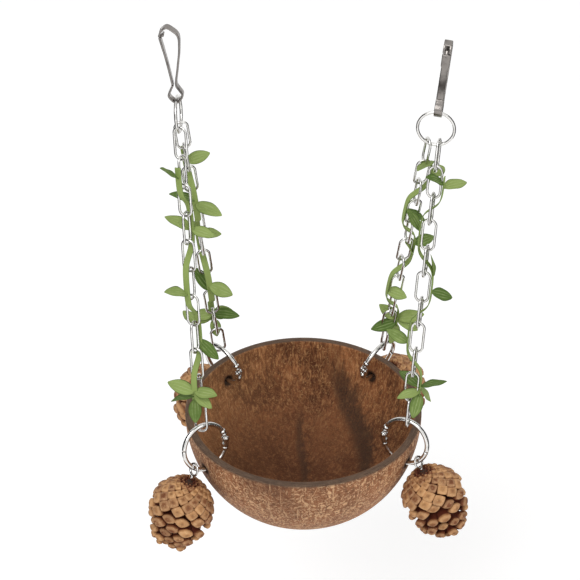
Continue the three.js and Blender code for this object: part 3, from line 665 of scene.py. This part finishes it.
# How far the scales stand open at a share of the cone's height: a smooth rise from 0 to 1.
def coneOpening(share):
    share = np.clip((share - cone["openFrom"]) / cone["openOver"], 0, 1)
    return share * share * (3 - 2 * share)


# Cone envelope: radius at each share of its height, 0 at the stem end and 1 at the tip, as part of a
# sine wave.
def coneReach(share):
    wave = np.sin(np.pi * (cone["stemEnd"] + cone["bellySpan"] * share ** cone["bellyLow"]))
    return cone["radius"] * wave ** cone["bellyFull"]


# Cone scales: in rows, each row half a scale round from the one above, with the gap between two
# rows in proportion to the radius there. Each scale is swept along a bent path from the core to its
# place on the envelope, and widens to a rounded diamond plate with a boss in its middle. Plates
# near the stem lie shut, and those past the middle stand open, shorter and ragged, and turn up.
def coneShape(top, axes, seed):
    rng = np.random.default_rng(seed)
    rows, perRow, height = cone["rows"], cone["perRow"], cone["height"]
    allRows = rows + cone["crownRows"] + 1
    count = allRows * perRow
    fine = np.linspace(0, 1, cone["fineSteps"])
    reach = coneReach(fine)
    room = reach * (1 + cone["openSpread"] * coneOpening(fine))
    passed = np.hypot(np.diff(reach), np.diff(fine) * height) / ((room[1:] + room[:-1]) / 2)
    passed = np.concatenate([[0], np.cumsum(passed)])
    row = np.repeat(np.arange(-cone["crownRows"], rows + 1), perRow)
    share = np.interp(np.maximum(row, cone["crownLevel"]) / (rows + 1) * passed[-1], passed, fine)
    azimuth = (np.tile(np.arange(perRow), allRows) * 2 + (row + 1) % 2) * np.pi / perRow
    opened = coneOpening(share)
    tilt = np.arctan(np.interp(share, fine, np.gradient(reach, fine * height)))
    turnUp = cone["turnShare"] * opened * (math.radians(cone["turnUp"]) - tilt)
    lean = tilt + turnUp + cone["proud"] * (1 - opened)
    radius, level = np.interp(share, fine, reach), -share * height
    radius = radius * np.append(np.ones(rows + 1), cone["crown"])[row]  # small scales close round the stem
    wide = cone["plateWide"] * np.pi * radius / perRow * (1 - cone["openNarrow"] * opened)
    tall = cone["plateTall"] * radius * passed[-1] / (rows + 1) * (1 - cone["openShort"] * opened)
    lean = lean + rng.normal(0, cone["leanLoose"], count) * (cone["shutLean"] + cone["openLean"] * opened)
    azimuth = azimuth + rng.normal(0, cone["roundLoose"], count) * (1 + opened)
    ragged = cone["ragged"] * opened
    radius = radius - rng.uniform(0, cone["sunk"], count) - rng.uniform(0, 1, count) * ragged
    level = level - rng.uniform(*cone["dropLoose"], count) * ragged
    loose = cone["sizeLoose"]
    size = 1 + rng.uniform(-loose, loose, count) * (1 + cone["openLoose"] * opened)
    wide, tall = wide * size, tall * size
    # each scale's bent path, a parabola from its root to its end, as out from the axis and up
    endOut, endUp = np.cos(lean), np.sin(lean)
    shut = cone["shutDeep"] * (1 - opened)
    rootOut = radius - np.cos(tilt) * shut - cone["openRoot"] * radius * opened
    rootUp = level - np.sin(tilt) * shut + cone["openDrop"] * opened
    half = np.hypot(radius - rootOut, level - rootUp) / 2
    root, end = np.stack([rootOut, rootUp])[..., None], np.stack([radius, level])[..., None]
    mid = end - np.stack([endOut * half, endUp * half])[..., None]
    s = np.array(cone["scaleAlong"])
    pathOut, pathUp = (1 - s) ** 2 * root + 2 * s * (1 - s) * mid + s ** 2 * end
    ahead = (1 - s) * (mid - root) + s * (end - mid)
    aheadOut, aheadUp = ahead / np.hypot(*ahead)
    # the section across it, between a diamond and a circle
    turn = np.arange(cone["plateSides"]) * 2 * np.pi / cone["plateSides"]
    square = np.abs(np.cos(turn)) + np.abs(np.sin(turn))  # one over a diamond's reach
    rounded = cone["shutRound"] + cone["openRound"] * opened[:, None]
    soft = (1 / (square + (1 - square) * rounded))[:, None]
    across = wide[:, None, None] * np.array(cone["scaleWide"])[:, None] * np.cos(turn) * soft
    through = tall[:, None, None] * np.array(cone["scaleTall"])[:, None] * np.sin(turn) * soft
    r = pathOut[..., None] - aheadUp[..., None] * through
    z = pathUp[..., None] + aheadOut[..., None] * through
    x, y = spun(r, across, azimuth[:, None, None])
    points = laidOut(top, x, y, z, axes)
    # painted shade near the stem: the rows closest to it carry less plate colour, so they come out darker
    paintedStemShade = np.clip(cone["stemShade"] + cone["shadePerRow"] * row, cone["darkestShade"], 1)[:, None, None]
    shown = np.broadcast_to(np.array(cone["scaleShown"])[:, None] * paintedStemShade, points.shape[:3])
    tint = np.broadcast_to(rng.uniform(0, 1, count)[:, None, None], points.shape[:3])
    shape = gridShape(points, shown=shown, tint=tint)
    each = len(shape["points"]) // count  # the last point of each scale is its boss
    rise = laidOut(0, endOut * np.cos(azimuth), endOut * np.sin(azimuth), endUp, axes)
    shape["points"].reshape(count, each, 3)[:, -1] += rise * cone["boss"]
    shape["layers"]["shown"].reshape(count, each)[:, -1] = cone["bossShown"] * paintedStemShade[:, 0, 0]
    return shape


# Cone core: a dark spindle that fills the cone behind its scales, thinner where they stand open,
# and a low dome about the stem.
def coreShapes(top, axes):
    share = np.linspace(*cone["coreSpan"], cone["coreRows"])
    filled = cone["core"] + (cone["openCore"] - cone["core"]) * coneOpening(share)
    core = turned(top, axes["up"], -share * cone["height"], coneReach(share) * filled, cone["coreSides"])
    dome = turned(top, axes["up"], cone["domeLevels"], cone["domeRadii"], cone["domeSides"])
    for shape, shown in ((core, 0.0), (dome, cone["domeShown"])):
        level = np.ones(len(shape["points"]))
        shape["layers"] = dict(shown=level * shown, tint=level * cone["coreTint"])
    return [core, dome]


def coneFinish():
    material, wire, shader = newFinish("pineCone")
    look, here = cone, place(wire)
    shown, tint = layer(wire, "shown"), layer(wire, "tint")
    grainy, patch = here.noise(*look["grainy"]), here.noise(*look["patch"])
    plate = (tint * look["tintShare"] + patch * look["patchShare"]).step(*look["plateMix"])
    plate = plate.colour(look["plateRed"], look["plateTan"])
    plate = grainy.step(*look["grainPale"]).colour(plate, look["edge"])
    plate = grainy.step(*look["grainRed"]).colour(plate, look["plateRed"])
    plate = (shown.step(*look["edgeIn"]) - shown.step(*look["edgeOut"])).colour(plate, look["edge"])
    skin = shown.step(*look["stemTo"]).colour(look["stem"], look["tongue"])
    skin = shown.step(*look["plateFrom"]).colour(skin, plate)
    skin = (shown.step(*look["umboFrom"]) * patch.step(*look["umboPatch"])).colour(skin, look["umbo"])
    ridge = abs(wire.math("FRACT", shown * look["ridges"]) - 0.5) * shown.step(*look["ridgeFrom"])
    feedLook(wire, shader, skin, grainy * look["grainRough"] + look["rough"], grainy + patch + ridge, look)
    return material


# A cone's own axes, from its wire eye: up along the shank, and out across the plane of the loop.
def coneFrame(corner):
    points = nodePoints(f"{corner}_cone_eye")
    middle = points.mean(0)
    up = mainWays(points)[0]
    up = up * np.sign(up @ (middle - nodePoints(f"{corner}_cone").mean(0)))
    rise = (points - middle) @ up
    top = middle + up * (rise.min() + screwEye["shankInCone"])
    loop = points[rise > rise.max() - screwEye["inside"] - screwEye["wire"]]
    out = mainWays(loop)[2]
    out = unit(out - (out @ up) * up)
    out = out * np.sign(out @ (top - shellAxes["centre"]))
    high = np.ptp(rise) - screwEye["shankInCone"]
    return top, dict(out=out, side=np.cross(up, out), up=up), high


# Wire eye: a round loop in the plane of the cone's axis, and a straight shank into the cone.
def eyeShapes(top, axes, high):
    wire, deep = screwEye["wire"], screwEye["shankShown"]
    reach = (screwEye["inside"] + wire) / 2
    centre = top + axes["up"] * (high - reach - wire / 2)
    length = high - 2 * reach - wire / 2 + deep
    shank = turned(top - axes["up"] * deep, axes["up"], [0, length - screwEye["shankTip"], length],
                   np.array(screwEye["shankTaper"]) * screwEye["shank"])
    return [wireLoop(centre, axes["side"], axes["up"], reach, 0, screwEye), shank]


barkyCone = coneFinish()
for number, corner in enumerate(corners):
    top, axes, high = coneFrame(corner)
    scales = coneShape(top, axes, cone["seed"] + number)
    makePiece(f"{corner}_pine_cone", [scales, *coreShapes(top, axes)], barkyCone, f"{corner}_pine_cone",
              [f"{corner}_cone"])
    makePiece(f"{corner}_wire_eye", eyeShapes(top, axes, high), nickelWire, f"{corner}_pine_cone",
              [f"{corner}_cone_eye"])
print("pine cones made")

# leaf vines; angles are in degrees where they are set and in radians where they are loose
vine = dict(
    ribbonWide=3.3 * mm, ribbonThick=0.5 * mm, ribbonRows=120, ribbonSides=12, ribbonPower=0.4,
    ribbonGrain=0.4, ribbonTint=0.6, swing=4.55 * mm, sharp=2.2, crossing=3, first=1.75, last=10.25,
    leafLong=13.6 * mm, leafWide=6.9 * mm, leafThick=0.35 * mm, leafRows=13, leafSides=10,
    leafTip=0.012, leafLow=0.86, leafBlunt=0.68, edgeThick=0.25, ripple=0.35 * mm, ripples=9,
    firstNode=2, lostEvery=4, spread=26, leftRise=36, rightRise=4, face=36, pairGap=0.1, seed=50,
    # the tuft at the ribbon's foot: place on the chain, way round and rise of each leaf
    tuftSpots=(9.9, 9.95, 10.0, 10.1, 10.2), tuftWays=(-20, 165, 8, 205, -100),
    tuftRises=(12, 34, -16, -4, -58),
    spotLoose=0.4, wayLoose=0.3, riseLoose=0.28, faceLoose=0.25, longLoose=(0.78, 1.1),
    wideLoose=(0.85, 1.1), fold=(0.05, 0.26), curl=(0.08, 0.5), waveStart=(0, 6),
    # colours, patterns and layers of the look
    dark=rgb(84, 110, 46), light=rgb(146, 165, 94), vein=rgb(184, 198, 140),
    mottle=(240, 4), weave=900.0, weaveWander=2.0, tintLight=(0.0, 0.45, 0.8), mottleShare=0.5,
    leafMix=(0.25, 1.1), rimDark=(0.82, 1.0, 0.7), rib=(0.11, 0.02), branchAt=0.46, branch=(0.12, 0.03),
    branchEnd=(0.98, 0.7), branchPale=0.3, ribPale=0.4, veinWorn=(0.3, 0.6), rough=0.6, mottleRough=0.2,
    weaveRise=0.4, branchRise=0.5, bump=0.6, bumpDeep=0.25 * mm, fixed=dryGloss)


# Line of the ribbon at places counted in links: down the chain, while a flattened sine wave swings it
# from one side of the links to the other.
def vineLine(axes, spot):
    wave = np.tanh(vine["sharp"] * np.sin(np.pi / 2 * (spot - vine["crossing"]))) / math.tanh(vine["sharp"])
    down = (spot - 1) * axes["pitch"]
    return axes["top"] - down[:, None] * axes["up"] + (vine["swing"] * wave)[:, None] * axes["even"]


# Ribbon: a flat bar along that line.
def ribbonShape(axes):
    spot = np.linspace(vine["first"], vine["last"], vine["ribbonRows"])
    path = vineLine(axes, spot)
    ahead = unit(np.gradient(path, axis=0))
    x, y = barProfile(vine["ribbonThick"], vine["ribbonWide"], vine["ribbonSides"], vine["ribbonPower"])
    grid = sweep(path, np.cross(axes["odd"], ahead), axes["odd"], x, y)
    level = np.ones(grid.shape[:2])
    along, across = level * spot[:, None] * vine["ribbonGrain"], level * y / vine["ribbonWide"] * 2
    return gridShape(grid, along=along, across=across, tint=level * vine["ribbonTint"], blade=level * 0)


# Leaves: each row is a thin lens across the leaf, as wide as the outline there, a blunted sine wave.
# The halves fold up from the midrib, and the blade bends over toward its tip.
def leafShapes(axes, seed):
    rng = np.random.default_rng(seed)
    nodes = np.arange(vine["firstNode"], chain["count"] - 1, 2)
    kept = (np.arange(2 * len(nodes)) + seed + 1) % vine["lostEvery"] != 0  # some leaves have come off
    leftward = np.tile([True, False], len(nodes))[kept]
    swerve = np.repeat(np.where(nodes % 4, 1, -1), 2)[kept] * vine["spread"]
    spots = np.repeat(nodes, 2)[kept] + np.where(leftward, -1, 1) * vine["pairGap"]
    spots = spots + rng.uniform(-vine["spotLoose"], vine["spotLoose"], len(leftward))
    ways = np.where(leftward, 180, 0) + swerve
    rises = np.where(leftward, vine["leftRise"], vine["rightRise"])
    spots = np.append(spots, vine["tuftSpots"])
    ways = np.radians(np.append(ways, vine["tuftWays"]))
    rises = np.radians(np.append(rises, vine["tuftRises"]))
    count = len(spots)
    ways = ways + rng.normal(0, vine["wayLoose"], count)
    rises = rises + rng.normal(0, vine["riseLoose"], count)
    twists = np.radians(vine["face"]) * np.cos(ways) + rng.normal(0, vine["faceLoose"], count)
    ways = ways - math.atan2(axes["even"][1], axes["even"][0])
    length = vine["leafLong"] * rng.uniform(*vine["longLoose"], count)
    wide = vine["leafWide"] * rng.uniform(*vine["wideLoose"], count)
    fold, curl, wave = (rng.uniform(*vine[key], count) for key in ("fold", "curl", "waveStart"))
    tint = rng.uniform(0, 1, count)
    ways, rises, twists, length, wide, fold, curl, wave, tint = (
        value[:, None, None] for value in (ways, rises, twists, length, wide, fold, curl, wave, tint))
    s = np.linspace(0, 1, vine["leafRows"])[:, None]
    inTip = np.clip(s, vine["leafTip"], 1 - vine["leafTip"])
    outline = np.sin(np.pi * inTip ** vine["leafLow"]) ** vine["leafBlunt"]
    turn = np.arange(vine["leafSides"]) * 2 * np.pi / vine["leafSides"]
    across = np.cos(turn)
    y = across * outline * wide / 2
    thick = vine["edgeThick"] + (1 - vine["edgeThick"]) * outline
    bend = curl * s
    x = length * np.sin(bend) / curl
    z = np.sin(turn) * thick * vine["leafThick"] / 2 + fold * np.abs(y) - length * (1 - np.cos(bend)) / curl
    z = z + vine["ripple"] * np.sin(vine["ripples"] * s + wave) * (y / wide * 2) ** 2
    y, z = spun(y, z, twists)
    x, z = spun(x, z, rises)
    x, y = spun(x, y, ways)
    points = laidOut(vineLine(axes, spots)[:, None, None], x, y, z, axes, ("even", "odd", "up"))
    level = np.ones(points.shape[:3])
    return gridShape(points, along=level * s, across=level * across, tint=level * tint, blade=level)


def leafFinish():
    material, wire, shader = newFinish("leafCloth")
    look, here = vine, place(wire)
    along, across, tint, blade = (layer(wire, name) for name in ("along", "across", "tint", "blade"))
    mottle = here.noise(*look["mottle"])
    rib = abs(across).step(*look["rib"]) * blade
    branch = abs(abs(across) - look["branchAt"]).step(*look["branch"])
    branch = branch * along.step(*look["branchEnd"]) * blade
    weave = wire.node("TexWave", {"wave_type": "BANDS"},
                      {"Vector": here, "Scale": look["weave"], "Distortion": look["weaveWander"]})
    green = (tint.step(*look["tintLight"]) + mottle * look["mottleShare"]).step(*look["leafMix"])
    green = green.colour(look["dark"], look["light"])
    green = abs(across).step(*look["rimDark"]).colour(green, look["dark"])
    veins = (branch * look["branchPale"] + rib * look["ribPale"]) * mottle.step(*look["veinWorn"])
    green = veins.colour(green, look["vein"])
    relief = weave * look["weaveRise"] + mottle - rib - branch * look["branchRise"]
    feedLook(wire, shader, green, mottle * look["mottleRough"] + look["rough"], relief, look)
    return material


leafCloth = leafFinish()
for number, corner in enumerate(corners):
    axes, side = chainFrames[corner], corner.split("_")[1]
    leaves = leafShapes(axes, vine["seed"] + number)
    makePiece(f"{corner}_leaf_vine", [ribbonShape(axes), leaves], leafCloth, f"{side}_chains",
              [f"{corner}_vine"])
print("leaf vines made")

# spring clips of bent steel strip; leans and turns are in degrees
# the steel's near-black dull colour, mixed over most of the strip, is painted dark reflection with some
# wear
steel = dict(bright=(0.26, 0.24, 0.225, 1), dullAndDarkReflection=(0.035, 0.03, 0.027, 1), rough=0.17, patch=110, worn=0.9)
clip = dict(
    spread=65 * mm, stagger=8.5 * mm, lean=5, turn=dict(left=-7, right=78),
    wide=4 * mm, thick=1 * mm, stripSides=16, stripPower=0.35, lineSteps=9,
    hookHalf=4.4 * mm, hookDrop=3.9 * mm, back=26.8 * mm, neckHalf=0.9 * mm,
    eyeHalf=3.3 * mm, eyeTall=9.2 * mm,
    # corners of the bend: the hook in half widths and drops, and the eye in half widths and heights
    hook=((-1, -1), (-0.72, -0.3), (-0.12, 0.5 / 3.9), (0.5, -0.32), (1, -1)),
    backStraight=0.25, backBent=0.66, backIn=0.35,
    eye=((0.62, -0.26), (1, -0.6), (0, -1), (-1, -0.6), (-0.62, -0.26)),
    slot=1.9 * mm, fork=3 * mm, gap=0.3 * mm,
    gateRows=60, gateBow=0.25 * mm, gateNarrow=0.80, gateWidens=0.72, gateSharp=90,
    stem=1.2 * mm, stemRows=8, stemIn=1.5 * mm, stemShort=0.2 * mm,
    bar=1 * mm, barLift=1.4, barEdge=0.15 * mm, barTip=0.38)


# A clip's origin on the cage bar, and its axes as columns: turned about its length, then leaned over.
def clipFrame(side):
    sign = -1 if side == "left" else 1
    lean, turn = math.radians(sign * clip["lean"]), math.radians(clip["turn"][side])
    origin = np.array([sign * clip["spread"], -sign * clip["stagger"], 0])
    leaned = Matrix.Rotation(lean, 3, "Y")
    return origin, np.array(leaned @ Matrix.Rotation(turn, 3, "Z"))


# Smooth line through points: each span is a cubic whose end slopes come from the neighbours,
# timed by the square root of the distance between the points.
def smoothLine(points, steps):
    points = np.array(points)
    points = np.concatenate([[2 * points[0] - points[1]], points, [2 * points[-1] - points[-2]]])
    time = np.sqrt(np.linalg.norm(np.diff(points, axis=0), axis=1))[:, None]
    before, here, after, beyond = points[:-3], points[1:-2], points[2:-1], points[3:]
    t0, t1, t2 = time[:-2], time[1:-1], time[2:]
    leave = t1 * ((here - before) / t0 - (after - before) / (t0 + t1) + (after - here) / t1)
    arrive = t1 * ((after - here) / t1 - (beyond - here) / (t1 + t2) + (beyond - after) / t2)
    s = (np.arange(steps) / steps)[None, :, None]
    cubic = ((2 * s ** 3 - 3 * s ** 2 + 1) * here[:, None] + (s ** 3 - 2 * s ** 2 + s) * leave[:, None]
             + (3 * s ** 2 - 2 * s ** 3) * after[:, None] + (s ** 3 - s ** 2) * arrive[:, None])
    return np.concatenate([cubic.reshape(-1, points.shape[1]), points[-2:-1]])


# Bent strip: a flat bar along a line in the clip's own upright plane, as wide as asked at each place.
def stripShape(origin, axes, line, middle, wide):
    ahead = unit(np.gradient(line, axis=0))
    normal = np.stack([ahead[:, 1], -ahead[:, 0]], 1)
    path = origin + line[:, :1] * axes[:, 0] + line[:, 1:] * axes[:, 2] + middle * axes[:, 1]
    across = normal[:, :1] * axes[:, 0] + normal[:, 1:] * axes[:, 2]
    x, y = barProfile(clip["thick"], 1.0, clip["stripSides"], clip["stripPower"])
    wide = np.broadcast_to(wide, len(line))
    return gridShape(sweep(path, across, -axes[:, 1], x, wide[:, None] * y))


# Clip body: one strip bent over the hook, down the back and round the eye. At the hook's end it is
# slit into a fork of two prongs.
def hookShapes(origin, axes):
    half, drop, neck, back = (clip[key] for key in ("hookHalf", "hookDrop", "neckHalf", "back"))
    over = np.array(clip["hook"]) * [half, drop]
    down = [(half, -drop - back * clip["backStraight"]),
            (neck + half * clip["backIn"], -drop - back * clip["backBent"]), (neck, -drop - back)]
    eye = np.array(clip["eye"]) * [clip["eyeHalf"], clip["eyeTall"]] - [0, drop + back]
    line = smoothLine(np.concatenate([over, down, eye, [(-neck, -drop - back)]]), clip["lineSteps"])
    slotEnd = int(np.argmax(line[:, 1] > -drop + clip["fork"]))
    prong = (clip["wide"] - clip["slot"]) / 2
    shapes = [stripShape(origin, axes, line[slotEnd - 1:], 0, clip["wide"])]
    for way in (1, -1):
        shapes.append(stripShape(origin, axes, line[:slotEnd + 1], way * (clip["slot"] + prong) / 2, prong))
    return shapes


# Clip gate: a strip from the neck up to the hook's tip, bowed by half a sine wave, that widens at its
# shoulder. A narrow stem goes on through the fork, lifted by a square law, and carries a cross bar.
def gateShapes(origin, axes):
    root = np.array([-clip["neckHalf"], -clip["hookDrop"] - clip["back"] + clip["gap"]])
    rise = np.array([-clip["hookHalf"], -clip["hookDrop"]]) - root
    length = np.linalg.norm(rise)
    ahead = rise / length
    across = np.array([ahead[1], -ahead[0]])
    shoulder = length - clip["gap"] - clip["thick"] / 2
    reach = np.linspace(0, shoulder, clip["gateRows"])
    bow = (clip["gateBow"] * np.sin(np.pi * reach / shoulder))[:, None] * across
    widened = 1 / (1 + np.exp(-(reach / shoulder - clip["gateWidens"]) * clip["gateSharp"]))
    wide = clip["wide"] * (clip["gateNarrow"] + (1 - clip["gateNarrow"]) * widened)
    gate = [stripShape(origin, axes, root + reach[:, None] * ahead + bow, 0, wide)]
    top = shoulder + clip["fork"] / 2
    high = clip["thick"] * clip["barLift"] + clip["bar"] / 2
    stem = np.linspace(shoulder - clip["stemIn"], top - clip["stemShort"], clip["stemRows"])
    lift = np.linspace(0, 1, clip["stemRows"])[:, None] ** 2 * high * across
    gate.append(stripShape(origin, axes, root + stem[:, None] * ahead + lift, 0, clip["stem"]))
    middle = root + (top - clip["bar"] / 2) * ahead + high * across
    start = origin + middle[0] * axes[:, 0] + middle[1] * axes[:, 2] - clip["wide"] / 2 * axes[:, 1]
    gate.append(rod(start, axes[:, 1], clip["wide"], clip["bar"] / 2, clip["barTip"] * clip["bar"],
                    clip["barEdge"]))
    return gate


clipSteel = metalFinish("clipSteel", steel)
for side in ("left", "right"):
    origin, axes = clipFrame(side)
    makePiece(f"{side}_clip_hook", hookShapes(origin, axes), clipSteel, "clips",
              [f"{side}_clip_body"])
    makePiece(f"{side}_clip_spring", gateShapes(origin, axes), clipSteel, f"{side}_gate",
              [f"{side}_clip_gate"])
print("spring clips made")

# floor, light and background, in metres and watts
studio = dict(
    floorDrop=0.42, floorReach=6.0, floorWhite=0.86, floorDim=0.98, floorPatch=(3, 2), floorMix=0.3,
    floorRough=0.9, fade=(0.8, 3.2), lift=0.3, sky=0.62,
    cardAway=0.3, cardTall=0.62, cardDeep=0.26, cardGrey=0.03,
    keyPower=26, keySize=1.6, keyFrom=(-0.9, -1.5, 1.7),
    fillPower=9, fillSize=1.2, fillFrom=(1.6, -0.8, 0.7))


def addLamp(name, power, size, spot):
    data = bpy.data.lights.new(name, "AREA")
    data.energy, data.size = power, size
    lamp = addObject(name, data)
    back = unit(np.array(spot) - np.array(view["aim"]))
    right = unit(np.cross([0, 0, 1], back))
    stand(lamp, right, np.cross(back, right), back, spot)
    return lamp


def addPanel(name, points, finish):
    mesh = bpy.data.meshes.new(name)
    mesh.from_pydata(points, [], [(0, 1, 2, 3)])
    mesh.materials.append(finish)
    return addObject(name, mesh)


def shownRays(wire):  # 1 for rays from the camera, off metal and through glass
    path = wire.node("LightPath")
    rays = [path.other(f"Is {kind} Ray") for kind in ("Camera", "Glossy", "Transmission")]
    return wire.math("MINIMUM", rays[0] + rays[1] + rays[2], 1.0)


# Pale floor that glows to white for the camera, and less so near the object, where its shadow lies.
def floorFinish():
    material, wire, shader = newFinish("paleFloor")
    here, white, lift = place(wire), studio["floorWhite"], studio["lift"]
    patch = here.noise(*studio["floorPatch"]) * studio["floorMix"]
    wire.feed(shader.inputs["Base Color"], patch.colour(grey(white), grey(white * studio["floorDim"])))
    far = wire.node("VectorMath", {"operation": "LENGTH"}, {0: here}, "Value").step(*studio["fade"])
    glow = shownRays(wire) * (far * (1 - lift) + lift)
    wire.feed(shader.inputs["Emission Color"], glow.colour(grey(0), grey(1)))
    shader.inputs["Roughness"].default_value = studio["floorRough"]
    shader.inputs["Emission Strength"].default_value = 1.0
    return material


def addFloor():
    reach, level = studio["floorReach"], -studio["floorDrop"]
    return addPanel("paleFloor", [(-reach, -reach, level), (reach, -reach, level),
                                  (reach, reach, level), (-reach, reach, level)], floorFinish())


# Dark cards at both sides: only the metal's reflections show them, as the dark edges of bright wire.
def addCard(name, across):
    deep, foot = studio["cardDeep"], -studio["floorDrop"]
    head = foot + studio["cardTall"]
    material, _, shader = newFinish(name)
    shader.inputs["Base Color"].default_value = grey(studio["cardGrey"])
    shader.inputs["Roughness"].default_value = 1.0
    card = addPanel(name, [(across, -deep, foot), (across, deep, foot),
                           (across, deep, head), (across, -deep, head)], material)
    card.visible_camera = card.visible_diffuse = card.visible_shadow = card.visible_transmission = False
    return card


def lightWorld():
    world = bpy.data.worlds.new("paleRoom")
    bpy.context.scene.world = world
    world.use_nodes = True
    wire = Wire(world.node_tree)
    sky = world.node_tree.nodes["Background"]
    sky.inputs["Color"].default_value = grey(1)
    wire.feed(sky.inputs["Strength"], shownRays(wire) * (1 - studio["sky"]) + studio["sky"])


lightWorld()
addFloor()
addLamp("softKey", studio["keyPower"], studio["keySize"], studio["keyFrom"])
addLamp("softFill", studio["fillPower"], studio["fillSize"], studio["fillFrom"])
addCard("leftCard", -studio["cardAway"])
addCard("rightCard", studio["cardAway"])
bpy.context.scene.view_settings.view_transform = "Standard"
print("studio lit")
